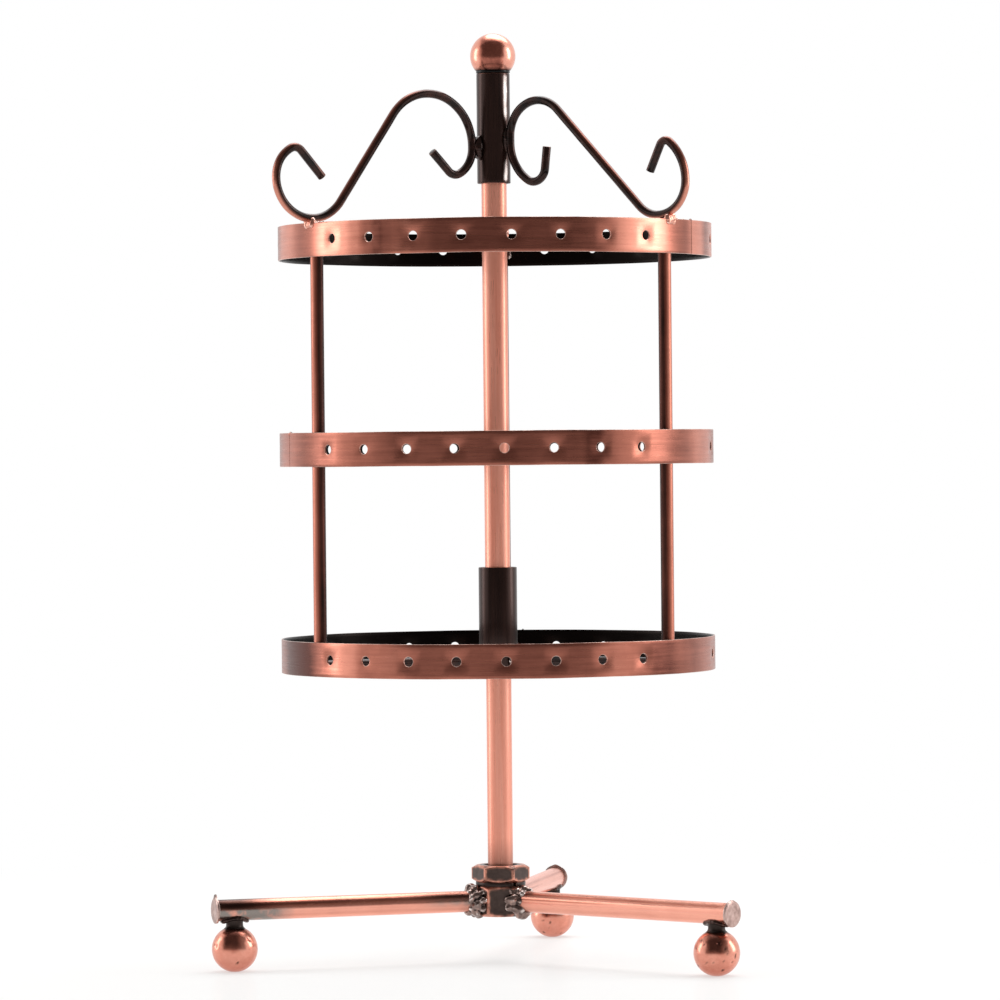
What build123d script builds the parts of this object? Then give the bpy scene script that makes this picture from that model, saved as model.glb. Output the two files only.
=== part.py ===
from build123d import *
from dataclasses import dataclass
import math
import os

# Rotating three-ring display stand in antique copper plated steel.
# A three-legged foot carries a fixed pole. A turning frame hangs on the pole:
# two sleeves, three scrolls, three hooped rings with hook holes, and three rods.
# Millimetres, +Z up, origin on the pole's axis at floor level, back leg along +Y.

# Fits between pieces
WELD_GAP = 0.02          # daylight left between two welded or pressed pieces, per side
THREAD_GAP = 0.04        # per side, between a plain thread and its nut
RUNNING_GAP = 0.08       # per side, between the turning frame and the pole
END_PLAY = 0.15          # how far the turning frame can lift before the finial stops it
THRUST_GAP = 0.05        # between the thrust washer and the cap that turns on it

# Feet and legs
LEG_COUNT = 3
LEG_NAMES = ("left", "right", "back")
LEG_ANGLES = (210.0, 330.0, 90.0)
FOOT_BALL_D = 16.2
FOOT_FLAT_D = 3.2        # worn flat that each ball stands on
FOOT_CIRCLE_R = 99.0     # pole axis to the middle of each ball
FOOT_GAP = 1.8           # daylight between the top of a ball and its leg
FOOT_NECK_D = 6.0
FOOT_SPIGOT_D = 5.0
FOOT_SPIGOT_LENGTH = 6.0
FOOT_WELD_D = 9.6
FOOT_WELD_DROP = 0.7     # how far the bead hangs under the leg
FOOT_WELD_WRAP = 1.2     # how far the bead climbs round the leg
LEG_D = 7.6
LEG_WALL = 1.0
LEG_OVERHANG = 6.5       # leg past the middle of its ball
LEG_CAP_D = 9.2
LEG_CAP_THICKNESS = 0.8
LEG_CAP_PLUG_LENGTH = 4.0

# Hub: an M12 nut with the legs welded round it, and its lock nut
NUT_ACROSS_FLATS = 18.0
THREAD_D = 12.0
HUB_NUT_HEIGHT = 10.8
HUB_NUT_TURN = 14.4      # the legs are welded this far off square to the flats
HUB_WELD_PROUD = 1.3     # bead round each leg root, over the leg
HUB_WELD_LENGTH = 3.2
LOCK_WASHER_D = 17.8
LOCK_WASHER_THICKNESS = 1.4
LOCK_WASHER_SPLIT = 1.2
LOCK_WASHER_TURN = 45.6  # where the washer's split came to rest
LOCK_NUT_HEIGHT = 6.0
LOCK_NUT_TURN = 8.0
NUT_CHAMFER_ANGLE = 30.0
NUT_FACE_SHARE = 0.95    # flat face of a nut as a share of its width across flats
STUD_RECESS = 0.5        # threaded ferrule inside the faces of the two nuts

# Pole
POLE_D = 9.0
POLE_WALL = 1.0
POLE_SOCKET_DEPTH = 14.0
TOP_PLUG_LENGTH = 14.0
FINIAL_STUD_D = 5.0
FINIAL_STUD_IN_PLUG = 11.0
FINIAL_STUD_IN_BALL = 7.0
FINIAL_BORE_SPARE = 0.6  # blind bore past the end of the stud
FINIAL_BALL_D = 16.2
FINIAL_SEAT_D = 12.6
FINIAL_WASHER_D = 12.1
FINIAL_WASHER_THICKNESS = 1.0
THRUST_WASHER_THICKNESS = 0.8
STUD_PASSING_GAP = 0.3   # per side, stud through the washer and the turning cap

# Rings
RING_OUTER_R = 77.5
RING_THICKNESS = 0.8
RING_HEIGHT = 12.0
RING_NAMES = ("lower", "middle", "upper")
LOWEST_RING_Z = 103.8    # bottom edge
RING_PITCH = 73.4
HOLE_D = 3.4
# A row of holes between each two rods: first hole, measured from the left rod; pitch; count
HOLE_ROWS = ((7.4, 12.857, 8), (136.0, 14.1, 7), (248.9, 13.33, 7))
HOLE_SHIFT = {"lower": 0.0, "middle": 0.0, "upper": 2.3}  # how much further round a ring's rows start

# Turning frame
FRAME_FRONT = 279.2      # direction that the frame's front faces at rest
FRAME_SPREAD = 54.8      # left and right rods to either side of it; the back rod is opposite it
ROD_D = 4.6
ROD_TOP_SETBACK = 1.2    # rod end under the top edge of the upper ring
ROD_FOOT_SETBACK = 0.6   # rod end above the bottom edge of the lower ring
SPOKE_D = 4.0
SPOKE_HEIGHT = 3.6       # spoke axis above the bottom edge of the lower ring
UPPER_SLEEVE_D = 11.9
UPPER_SLEEVE_FOOT = 15.0 # above the top edge of the upper ring
UPPER_SLEEVE_LENGTH = 39.2
SLEEVE_CAP_THICKNESS = 2.0
LOWER_SLEEVE_D = 13.7
LOWER_SLEEVE_SHARE = 0.53  # sleeve's share of the stock round the pole; its liner is the rest
LOWER_SLEEVE_LENGTH = 36.9
BUSH_INSET = 0.6
ROD_WELD_LENGTH = 5.0
BEAD_REACH = 1.2         # how far a fillet bead spreads past the round it joins
BEAD_DEPTH = 1.6         # how far a fillet bead stands off the wall it lies on

# Scrolls, bent from round wire
WIRE_D = 3.0
SCROLL_WELD_D = 4.8
SCROLL_WELD_LAP = 1.6    # how far the lump runs down the ring
SLEEVE_WELD_LENGTH = 4.8


@dataclass(frozen=True)
class Bends:
    """How one scroll was bent by hand: radii and lengths in mm, turns in degrees."""
    contact_top: float   # top of the welded stretch above the upper ring
    arch_r: float
    slope: float
    loop_r: float
    shoulder_r: float
    shoulder_turn: float
    crest_r: float
    crest_turn: float
    outer_tip: float
    hook_r: float
    hook_turn: float
    inner_tip: float
    contact: float = 4.8     # straight stretch beside the sleeve
    standoff: float = 0.0    # room between that and the sleeve, filled by the weld
    lean_r: float = 10.0     # bend from that stretch to the inner hook
    lean_turn: float = 0.0


SCROLLS = {
    "left": Bends(contact_top=28.2, arch_r=18.2, slope=54.5, loop_r=14.4, shoulder_r=11.2,
                  shoulder_turn=63, crest_r=3.5, crest_turn=74, outer_tip=12.6,
                  hook_r=4.0, hook_turn=72.9, inner_tip=9.7, contact=1.0, standoff=1.7,
                  lean_turn=62.1),
    "right": Bends(contact_top=31.7, arch_r=12.2, slope=44.9, loop_r=11.6, shoulder_r=17.4,
                   shoulder_turn=52, crest_r=2.6, crest_turn=102, outer_tip=10.2,
                   hook_r=5.0, hook_turn=114.7, inner_tip=7.9, contact=2.1, lean_r=16.2,
                   lean_turn=58.3),
    "back": Bends(contact_top=28.6, arch_r=16.8, slope=52, loop_r=13.0, shoulder_r=13.4,
                  shoulder_turn=60, crest_r=3.4, crest_turn=84, outer_tip=11.2,
                  hook_r=6.6, hook_turn=158, inner_tip=6.4),
}

# Heights and radii that follow
FOOT_BALL_Z = math.sqrt((FOOT_BALL_D / 2) ** 2 - (FOOT_FLAT_D / 2) ** 2)
LEG_Z = FOOT_BALL_Z + FOOT_BALL_D / 2 + FOOT_GAP + LEG_D / 2
LEG_END_R = FOOT_CIRCLE_R + LEG_OVERHANG
HUB_FOOT = LEG_Z - HUB_NUT_HEIGHT / 2
HUB_TOP = HUB_FOOT + HUB_NUT_HEIGHT
LOCK_NUT_FOOT = HUB_TOP + LOCK_WASHER_THICKNESS
LOCK_NUT_TOP = LOCK_NUT_FOOT + LOCK_NUT_HEIGHT
STUD_TOP = LOCK_NUT_TOP - STUD_RECESS
POLE_FOOT = STUD_TOP - POLE_SOCKET_DEPTH
RING_INNER_R = RING_OUTER_R - RING_THICKNESS
RING_FEET = [LOWEST_RING_Z + RING_PITCH * i for i in range(len(RING_NAMES))]
UPPER_RING_TOP = RING_FEET[-1] + RING_HEIGHT
ROD_R = RING_INNER_R - WELD_GAP - ROD_D / 2
SPOKE_Z = RING_FEET[0] + SPOKE_HEIGHT
SLEEVE_BORE_D = POLE_D + 2 * RUNNING_GAP
LOWER_SLEEVE_WALL = LOWER_SLEEVE_SHARE * (LOWER_SLEEVE_D - SLEEVE_BORE_D) / 2
SLEEVE_FOOT = UPPER_RING_TOP + UPPER_SLEEVE_FOOT
SLEEVE_TOP = SLEEVE_FOOT + UPPER_SLEEVE_LENGTH
CAP_FOOT = SLEEVE_TOP - SLEEVE_CAP_THICKNESS
POLE_TOP = CAP_FOOT - THRUST_GAP - THRUST_WASHER_THICKNESS
STUD_HOLE_D = FINIAL_STUD_D + 2 * STUD_PASSING_GAP
FINIAL_WASHER_FOOT = SLEEVE_TOP + END_PLAY
FINIAL_SEAT_Z = FINIAL_WASHER_FOOT + FINIAL_WASHER_THICKNESS
FINIAL_BALL_Z = FINIAL_SEAT_Z + math.sqrt((FINIAL_BALL_D / 2) ** 2 - (FINIAL_SEAT_D / 2) ** 2)
WIRE_U = UPPER_SLEEVE_D / 2 + WELD_GAP + WIRE_D / 2
SCROLL_FOOT_Z = UPPER_RING_TOP + WELD_GAP + WIRE_D / 2
SIDES = {"left": FRAME_FRONT - FRAME_SPREAD, "right": FRAME_FRONT + FRAME_SPREAD,
         "back": FRAME_FRONT - 180}


def drum(radius, foot, top):
    """A round bar about the Z axis between two heights."""
    height = top - foot
    return Pos(0, 0, foot + height / 2) * Cylinder(radius, height)


def tube(outer_d, inner_d, foot, top):
    """A round tube about the Z axis; its bore is cut clean through."""
    return drum(outer_d / 2, foot, top) - drum(inner_d / 2, foot - 1, top + 1)


def radial_bar(diameter, start, end, height, angle):
    """A round bar that points away from the pole at one angle."""
    bar = Pos(start + (end - start) / 2, 0, height) * Rot(0, 90, 0)
    return Rot(0, 0, angle) * bar * Cylinder(diameter / 2, end - start)


def standing_bar(diameter, radius, angle, foot, top):
    """A round bar that stands upright at a place round the pole."""
    return Rot(0, 0, angle) * Pos(radius, 0, 0) * drum(diameter / 2, foot, top)


def hexagon(foot, top, turn):
    """A plain hexagonal prism; at turn 0 one of its flats faces +Y."""
    outline = RegularPolygon(NUT_ACROSS_FLATS / 2, 6, major_radius=False)
    flats = Rot(0, 0, turn) * Pos(0, 0, foot) * extrude(outline, top - foot)
    return flats


def nut(foot, height, turn):
    """A hexagon nut with both faces turned to a cone at the corners."""
    corner_r = NUT_ACROSS_FLATS / math.sqrt(3)
    face_r = NUT_ACROSS_FLATS * NUT_FACE_SHARE / 2
    drop = (corner_r - face_r) * math.tan(math.radians(NUT_CHAMFER_ANGLE))
    top = foot + height
    profile = Polyline((0, foot), (face_r, foot), (corner_r, foot + drop),
                       (corner_r, top - drop), (face_r, top), (0, top), close=True)
    turned = revolve(Plane.XZ * make_face(profile), Axis.Z)
    bore = drum(THREAD_D / 2 + THREAD_GAP, foot - 1, top + 1)
    return (hexagon(foot, top, turn) & turned) - bore


def leg(angle):
    """A tube welded to the hub; its inner end is cut to the hub's flats."""
    start = THREAD_D / 2
    outer = radial_bar(LEG_D, start, LEG_END_R, LEG_Z, angle)
    bore = radial_bar(LEG_D - 2 * LEG_WALL, start - 1, LEG_END_R + 1, LEG_Z, angle)
    return outer - bore - hexagon(HUB_FOOT - 1, HUB_TOP + 1, HUB_NUT_TURN)


def leg_cap(angle):
    """A disc over the end of a leg with a plug pressed into the tube."""
    disc = radial_bar(LEG_CAP_D, LEG_END_R, LEG_END_R + LEG_CAP_THICKNESS, LEG_Z, angle)
    plug_d = LEG_D - 2 * LEG_WALL - 2 * WELD_GAP
    plug = radial_bar(plug_d, LEG_END_R - LEG_CAP_PLUG_LENGTH, LEG_END_R, LEG_Z, angle)
    return disc + plug


def hub_weld(angle):
    """A tapered bead round the root of one leg."""
    root = NUT_ACROSS_FLATS / 2 - 1
    end = NUT_ACROSS_FLATS / 2 + HUB_WELD_LENGTH
    place = Rot(0, 0, angle) * Pos((root + end) / 2, 0, LEG_Z) * Rot(0, 90, 0)
    bead = place * Cone(LEG_D / 2 + HUB_WELD_PROUD, LEG_D / 2 + WELD_GAP * 5, end - root)
    bead -= radial_bar(LEG_D + 2 * WELD_GAP, 0, LEG_END_R, LEG_Z, angle)
    return bead - hexagon(HUB_FOOT - 1, HUB_TOP + 1, HUB_NUT_TURN)


def foot_neck_seat():
    """Height at which the neck's shoulder meets the ball."""
    return FOOT_BALL_Z + math.sqrt((FOOT_BALL_D / 2) ** 2 - (FOOT_NECK_D / 2) ** 2)


def foot_ball(angle):
    """A ball with a flat to stand on and a tapped hole for its stud."""
    seat = foot_neck_seat()
    ball = Pos(0, 0, FOOT_BALL_Z) * Sphere(FOOT_BALL_D / 2)
    ball &= drum(FOOT_BALL_D, 0, seat)
    ball -= drum(FOOT_SPIGOT_D / 2 + THREAD_GAP, seat - FOOT_SPIGOT_LENGTH - 1, seat + 1)
    return Rot(0, 0, angle) * Pos(FOOT_CIRCLE_R, 0, 0) * ball


def foot_stud(angle):
    """The neck between ball and leg, saddled to the leg, with its spigot."""
    seat = foot_neck_seat()
    spigot = standing_bar(FOOT_SPIGOT_D, FOOT_CIRCLE_R, angle, seat - FOOT_SPIGOT_LENGTH, seat)
    neck = standing_bar(FOOT_NECK_D, FOOT_CIRCLE_R, angle, seat, LEG_Z)
    return spigot + neck - radial_bar(LEG_D + 2 * WELD_GAP, 0, 2 * LEG_END_R, LEG_Z, angle)


def foot_weld(angle):
    """The bead round the neck where it meets the leg."""
    underside = LEG_Z - LEG_D / 2
    bead = standing_bar(FOOT_WELD_D, FOOT_CIRCLE_R, angle,
                        underside - FOOT_WELD_DROP, underside + FOOT_WELD_WRAP)
    bead -= standing_bar(FOOT_NECK_D + 2 * WELD_GAP, FOOT_CIRCLE_R, angle, 0, LEG_Z)
    return bead - radial_bar(LEG_D + 2 * WELD_GAP, 0, 2 * LEG_END_R, LEG_Z, angle)


def lock_washer():
    """A split spring washer under the lock nut."""
    ring = tube(LOCK_WASHER_D, THREAD_D + 2 * THREAD_GAP, HUB_TOP, LOCK_NUT_FOOT)
    split = Pos(0, -LOCK_WASHER_D / 2, HUB_TOP) * Box(
        LOCK_WASHER_SPLIT, LOCK_WASHER_D, 4 * LOCK_WASHER_THICKNESS)
    return ring - Rot(0, 0, LOCK_WASHER_TURN) * split


def pole_stud():
    """The threaded ferrule that holds the pole in the two nuts."""
    ferrule = drum(THREAD_D / 2, HUB_FOOT + STUD_RECESS, STUD_TOP)
    return ferrule - drum(POLE_D / 2 + WELD_GAP, POLE_FOOT, STUD_TOP + 1)


def pole_tube():
    """The fixed upright."""
    return tube(POLE_D, POLE_D - 2 * POLE_WALL, POLE_FOOT, POLE_TOP)


def pole_top_plug():
    """The tapped plug pressed into the top of the pole."""
    outer_d = POLE_D - 2 * POLE_WALL - 2 * WELD_GAP
    return tube(outer_d, FINIAL_STUD_D + 2 * THREAD_GAP, POLE_TOP - TOP_PLUG_LENGTH, POLE_TOP)


def thrust_washer():
    """The washer on the pole's end that the turning frame stands on."""
    return tube(POLE_D, STUD_HOLE_D, POLE_TOP, POLE_TOP + THRUST_WASHER_THICKNESS)


def finial_stud():
    """The stud between the pole's plug and the ball on top."""
    return drum(FINIAL_STUD_D / 2, POLE_TOP - FINIAL_STUD_IN_PLUG,
                FINIAL_SEAT_Z + FINIAL_STUD_IN_BALL)


def finial_washer():
    """The dark washer between the sleeve and the ball."""
    return tube(FINIAL_WASHER_D, FINIAL_STUD_D + 2 * THREAD_GAP,
                FINIAL_WASHER_FOOT, FINIAL_SEAT_Z)


def finial_ball():
    """The ball on top, with a flat seat and a blind tapped hole."""
    ball = Pos(0, 0, FINIAL_BALL_Z) * Sphere(FINIAL_BALL_D / 2)
    ball &= drum(FINIAL_BALL_D, FINIAL_SEAT_Z, FINIAL_SEAT_Z + 2 * FINIAL_BALL_D)
    bore_top = FINIAL_SEAT_Z + FINIAL_STUD_IN_BALL + FINIAL_BORE_SPARE
    return ball - drum(FINIAL_STUD_D / 2 + THREAD_GAP, FINIAL_SEAT_Z - 1, bore_top)


def ring(foot, shift):
    """A hoop of flat strip with its row of hook holes at half height."""
    hoop = tube(2 * RING_OUTER_R, 2 * RING_INNER_R, foot, foot + RING_HEIGHT)
    holes = [radial_bar(HOLE_D, RING_INNER_R - 2, RING_OUTER_R + 2, foot + RING_HEIGHT / 2,
                        SIDES["left"] + shift + first + pitch * place)
             for first, pitch, count in HOLE_ROWS for place in range(count)]
    return hoop - holes


def rod(angle):
    """An upright that ties the three rings together from inside."""
    return standing_bar(ROD_D, ROD_R, angle, RING_FEET[0] + ROD_FOOT_SETBACK,
                        UPPER_RING_TOP - ROD_TOP_SETBACK)


def spoke(angle):
    """A bar from the lower sleeve to the foot of one rod, saddled at both ends."""
    bar = radial_bar(SPOKE_D, LOWER_SLEEVE_D / 4, ROD_R, SPOKE_Z, angle)
    bar -= drum(LOWER_SLEEVE_D / 2 + WELD_GAP, 0, UPPER_RING_TOP)
    return bar - standing_bar(ROD_D + 2 * WELD_GAP, ROD_R, angle, 0, UPPER_RING_TOP)


def rod_weld(angle, foot):
    """The two fillet beads where a rod lies on the inside of a ring."""
    middle = foot + RING_HEIGHT / 2
    low, high = middle - ROD_WELD_LENGTH / 2, middle + ROD_WELD_LENGTH / 2
    bead = standing_bar(ROD_D + 2 * BEAD_REACH, ROD_R, angle, low, high)
    bead &= tube(2 * (RING_INNER_R - WELD_GAP), 2 * (RING_INNER_R - BEAD_DEPTH), low, high)
    return bead - standing_bar(ROD_D + 2 * WELD_GAP, ROD_R, angle, 0, UPPER_RING_TOP)


def spoke_weld(angle):
    """The bead round a spoke where it meets the lower sleeve."""
    end = LOWER_SLEEVE_D / 2 + BEAD_DEPTH
    bead = radial_bar(SPOKE_D + 2 * BEAD_REACH, LOWER_SLEEVE_D / 4, end, SPOKE_Z, angle)
    bead -= drum(LOWER_SLEEVE_D / 2 + WELD_GAP, 0, UPPER_RING_TOP)
    return bead - radial_bar(SPOKE_D + 2 * WELD_GAP, 0, ROD_R, SPOKE_Z, angle)


def upper_sleeve():
    """The sleeve that turns on the top of the pole."""
    return tube(UPPER_SLEEVE_D, SLEEVE_BORE_D, SLEEVE_FOOT, SLEEVE_TOP)


def sleeve_cap():
    """The ring welded inside the upper sleeve that stands on the thrust washer."""
    return tube(SLEEVE_BORE_D - 2 * WELD_GAP, STUD_HOLE_D, CAP_FOOT, SLEEVE_TOP)


def lower_sleeve():
    """The sleeve that carries the spokes of the lower ring."""
    foot = RING_FEET[0]
    return tube(LOWER_SLEEVE_D, LOWER_SLEEVE_D - 2 * LOWER_SLEEVE_WALL,
                foot, foot + LOWER_SLEEVE_LENGTH)


def lower_bush():
    """The liner of the lower sleeve, running on the pole."""
    outer_d = LOWER_SLEEVE_D - 2 * LOWER_SLEEVE_WALL - 2 * WELD_GAP
    foot = RING_FEET[0] + BUSH_INSET
    return tube(outer_d, SLEEVE_BORE_D, foot, RING_FEET[0] + LOWER_SLEEVE_LENGTH - BUSH_INSET)


def run(edges, length):
    """Adds a straight stretch to the end of a bent wire."""
    last = edges[-1]
    edges.append(Line(last @ 1, last @ 1 + (last % 1) * length))


def bend(edges, radius, turn):
    """Adds an arc to the end of a bent wire; a positive turn is to the left."""
    last = edges[-1]
    edges.append(JernArc(last @ 1, last % 1, radius, turn))


def scroll_straight(bends):
    """Length of the straight that brings a scroll down onto the ring."""
    slope = math.radians(bends.slope)
    start = UPPER_RING_TOP + bends.contact_top + bends.arch_r * math.cos(slope)
    end = SCROLL_FOOT_Z + bends.loop_r * (1 - math.cos(slope))
    return (start - end) / math.sin(slope)


def scroll_path(bends):
    """Centre line of a scroll: inner hook, arch, straight and outer loop."""
    reach = WIRE_U + bends.standoff
    top = UPPER_RING_TOP + bends.contact_top
    foot = top - bends.contact
    inner = [Line((reach, top), (reach, foot))]
    if bends.lean_turn:
        bend(inner, bends.lean_r, bends.lean_turn)
    bend(inner, bends.hook_r, bends.hook_turn)
    run(inner, bends.inner_tip)
    outer = [Line((reach, foot), (reach, top))]
    bend(outer, bends.arch_r, -(90 + bends.slope))
    run(outer, scroll_straight(bends))
    bend(outer, bends.loop_r, bends.slope + 90)
    bend(outer, bends.shoulder_r, bends.shoulder_turn)
    bend(outer, bends.crest_r, bends.crest_turn)
    run(outer, bends.outer_tip)
    return Plane.XZ * Wire(inner[1:] + outer)


def scroll(name):
    """A round wire swept along one scroll's centre line."""
    path = scroll_path(SCROLLS[name])
    section = Plane(origin=path @ 0, z_dir=path % 0) * Circle(WIRE_D / 2)
    return Rot(0, 0, SIDES[name]) * sweep(section, path=path)


def scroll_weld(name):
    """The lump that joins the bottom of a scroll to the ring under it."""
    angle = SIDES[name]
    radius = RING_OUTER_R - RING_THICKNESS / 2
    top = UPPER_RING_TOP + WIRE_D
    lump = standing_bar(SCROLL_WELD_D, radius, angle, UPPER_RING_TOP - SCROLL_WELD_LAP, top)
    lump -= tube(2 * (RING_OUTER_R + WELD_GAP), 2 * (RING_INNER_R - WELD_GAP),
                 0, UPPER_RING_TOP + WELD_GAP)
    lump -= standing_bar(ROD_D + 2 * WELD_GAP, ROD_R, angle, 0, UPPER_RING_TOP)
    return lump - scroll(name)


def sleeve_weld(name):
    """The weld between a scroll and the upper sleeve: two beads, or one where they stand apart."""
    angle, bends = SIDES[name], SCROLLS[name]
    reach = WIRE_U + bends.standoff
    middle = UPPER_RING_TOP + bends.contact_top - bends.contact / 2
    low, high = middle - SLEEVE_WELD_LENGTH / 2, middle + SLEEVE_WELD_LENGTH / 2
    bead = standing_bar(WIRE_D + 2 * (BEAD_REACH + bends.standoff), reach, angle, low, high)
    bead &= drum(UPPER_SLEEVE_D / 2 + BEAD_DEPTH + bends.standoff, low, high)
    bead -= drum(UPPER_SLEEVE_D / 2 + WELD_GAP, low - 1, high + 1)
    return bead - standing_bar(WIRE_D + 2 * WELD_GAP, reach, angle, low - 1, high + 1)


def group(pieces):
    """Several separate solids that share one name."""
    solids = [solid for piece in pieces for solid in piece.solids()]
    return Compound(children=solids)


def base_nodes():
    """Everything that stands still."""
    nodes = {"hub_nut": nut(HUB_FOOT, HUB_NUT_HEIGHT, HUB_NUT_TURN)}
    for name, angle in zip(LEG_NAMES, LEG_ANGLES):
        nodes["leg_" + name] = leg(angle)
        nodes["leg_cap_" + name] = leg_cap(angle)
        nodes["foot_ball_" + name] = foot_ball(angle)
        nodes["foot_stud_" + name] = foot_stud(angle)
    nodes["hub_welds"] = group(hub_weld(angle) for angle in LEG_ANGLES)
    nodes["foot_welds"] = group(foot_weld(angle) for angle in LEG_ANGLES)
    nodes["lock_washer"] = lock_washer()
    nodes["lock_nut"] = nut(LOCK_NUT_FOOT, LOCK_NUT_HEIGHT, LOCK_NUT_TURN)
    nodes["pole_stud"] = pole_stud()
    nodes["pole_tube"] = pole_tube()
    nodes["pole_top_plug"] = pole_top_plug()
    nodes["thrust_washer"] = thrust_washer()
    nodes["finial_stud"] = finial_stud()
    nodes["finial_washer"] = finial_washer()
    nodes["finial_ball"] = finial_ball()
    return nodes


def frame_nodes():
    """Everything that turns on the pole."""
    nodes = {"upper_sleeve": upper_sleeve(), "sleeve_cap": sleeve_cap(),
             "lower_sleeve": lower_sleeve(), "lower_bush": lower_bush()}
    for name, foot in zip(RING_NAMES, RING_FEET):
        nodes["ring_" + name] = ring(foot, HOLE_SHIFT[name])
    for name, angle in SIDES.items():
        nodes["rod_" + name] = rod(angle)
        nodes["spoke_" + name] = spoke(angle)
        nodes["scroll_" + name] = scroll(name)
    nodes["rod_welds"] = group(rod_weld(angle, foot) for angle in SIDES.values()
                               for foot in RING_FEET)
    nodes["spoke_welds"] = group(spoke_weld(angle) for angle in SIDES.values())
    nodes["scroll_welds"] = group(scroll_weld(name) for name in SIDES)
    nodes["sleeve_welds"] = group(sleeve_weld(name) for name in SIDES)
    return nodes


os.makedirs("parts", exist_ok=True)
for node, shape in {**base_nodes(), **frame_nodes()}.items():
    export_step(shape, "parts/" + node + ".step")
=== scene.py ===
"""Looks of a revolving counter stand in antique copper: three hooped rings on a pole, and a tripod.

Sizes are millimetres, but the studio's are metres. Angles are degrees, from +X towards +Y about the pole.
"""

import logging
import math
from dataclasses import dataclass
from enum import Enum
from typing import Any, Callable, Iterable, Sequence

import bmesh
import bpy
from mathutils import Matrix, Vector, noise


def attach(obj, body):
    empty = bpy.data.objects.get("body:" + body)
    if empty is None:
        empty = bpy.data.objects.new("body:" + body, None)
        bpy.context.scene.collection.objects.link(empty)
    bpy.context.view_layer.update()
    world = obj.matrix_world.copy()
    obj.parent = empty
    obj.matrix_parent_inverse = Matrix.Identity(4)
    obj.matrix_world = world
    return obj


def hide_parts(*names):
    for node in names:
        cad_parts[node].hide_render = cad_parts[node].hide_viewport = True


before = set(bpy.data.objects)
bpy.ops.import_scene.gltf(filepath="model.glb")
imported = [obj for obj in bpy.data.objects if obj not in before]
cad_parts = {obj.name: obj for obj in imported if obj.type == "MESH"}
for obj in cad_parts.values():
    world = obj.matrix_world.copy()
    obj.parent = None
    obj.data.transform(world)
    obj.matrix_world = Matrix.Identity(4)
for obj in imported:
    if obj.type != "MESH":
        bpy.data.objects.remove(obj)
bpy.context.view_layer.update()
LOG = logging.getLogger("stand")
MM = 0.001

BASE = "base"
TURNING = "turning_frame"
CAMERA_SIDE = 281.2       # direction from the pole to the camera

# Heights and radii that the pieces share with the solids
LEG_Z = 21.64
LEG_R = 3.8
LEG_END = 105.5
FOOT_CIRCLE = 99.0
HUB_FLAT = 9.0            # half the nuts' width across flats
TUBE_WALL = 1.0           # of the legs and the pole
POLE_R = 4.5
RING_R = 77.5
RING_WALL = 0.8
RING_HEIGHT = 12.0
RING_FEET = {"lower": 103.8, "middle": 177.2, "upper": 250.6}
RING_TOP = 262.6
ROD_R = 2.3
ROD_CIRCLE = 74.38
SPOKE_Z = 107.4
WIRE_R = 1.5
SIDES = {"left": 224.4, "right": 334.0, "back": 99.2}
LEGS = {"left": 210.0, "right": 330.0, "back": 90.0}
PAINTED = ("rub_and_painted_light", "wear_and_glint", "soot_and_shade")     # attributes of every piece: rubbing and painted light, bared edges and painted glints, blackening and painted shade


def linear(code: str) -> tuple[float, float, float, float]:
    """Turns an sRGB hex value into a linear colour.

    Args:
        code: a value such as "#F0A088".

    Returns:
        Red, green, blue and alpha, linear.
    """
    parts = [int(code[i:i + 2], 16) / 255 for i in (1, 3, 5)]
    shares = [p / 12.92 if p <= 0.04045 else ((p + 0.055) / 1.055) ** 2.4 for p in parts]
    return (shares[0], shares[1], shares[2], 1.0)


def polar(radius: float, angle: float, height: float) -> Vector:
    """Gives the point at a radius and an angle about the pole, at a height."""
    turn = math.radians(angle)
    return Vector((radius * math.cos(turn), radius * math.sin(turn), height))


def smooth(value: float, low: float, high: float) -> float:
    """Runs smoothly from 0 at low to 1 at high."""
    share = min(1.0, max(0.0, (value - low) / (high - low)))
    return share * share * (3 - 2 * share)


def band(value: float, middle: float, half: float) -> float:
    """Gives 1 at the middle of a soft band, and 0.37 at half its width from there."""
    return math.exp(-((value - middle) / half) ** 2)


def place_mesh(bm: bmesh.types.BMesh, name: str) -> bpy.types.Object:
    """Turns a bmesh into an object in the scene.

    Args:
        bm: the mesh in work, which is freed.
        name: the object's name.

    Returns:
        The object, at the origin.
    """
    mesh = bpy.data.meshes.new(name)
    bm.to_mesh(mesh)
    bm.free()
    placed = bpy.data.objects.new(name, mesh)
    bpy.context.scene.collection.objects.link(placed)
    return placed


def add_node(tree: bpy.types.NodeTree, kind: str, inputs: dict[Any, Any] | None = None,
             stops: Sequence[tuple[float, str]] = (), **settings: Any) -> bpy.types.Node:
    """Adds a node with its settings, its values and its links.

    Args:
        tree: the node tree that it goes into.
        kind: the node's type name.
        inputs: a value, or an output to link, for each input by name or number.
        stops: for a colour ramp, the places and their hex colours.
        settings: the node's own properties.

    Returns:
        The new node.
    """
    node = tree.nodes.new(kind)
    for key, value in settings.items():
        setattr(node, key, value)
    for key, value in (inputs or {}).items():
        if isinstance(value, bpy.types.NodeSocket):
            tree.links.new(value, node.inputs[key])
        else:
            node.inputs[key].default_value = value
    for number, (place, code) in enumerate(stops):
        ramp = node.color_ramp.elements
        element = ramp[number] if number < 2 else ramp.new(place)
        element.position = place
        element.color = linear(code)
    return node


class Lay(Enum):
    """Which way a surface was brushed: where its pattern is read, and its stretch along X, Y and Z."""
    AROUND = ("object", (0.04, 0.04, 1.0))
    UPRIGHT = ("object", (1.0, 1.0, 0.03))
    ALONG_LEG = ("leg_place", (1.0, 1.0, 0.03))
    TUMBLED = ("object", (1.0, 1.0, 1.0))


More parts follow.
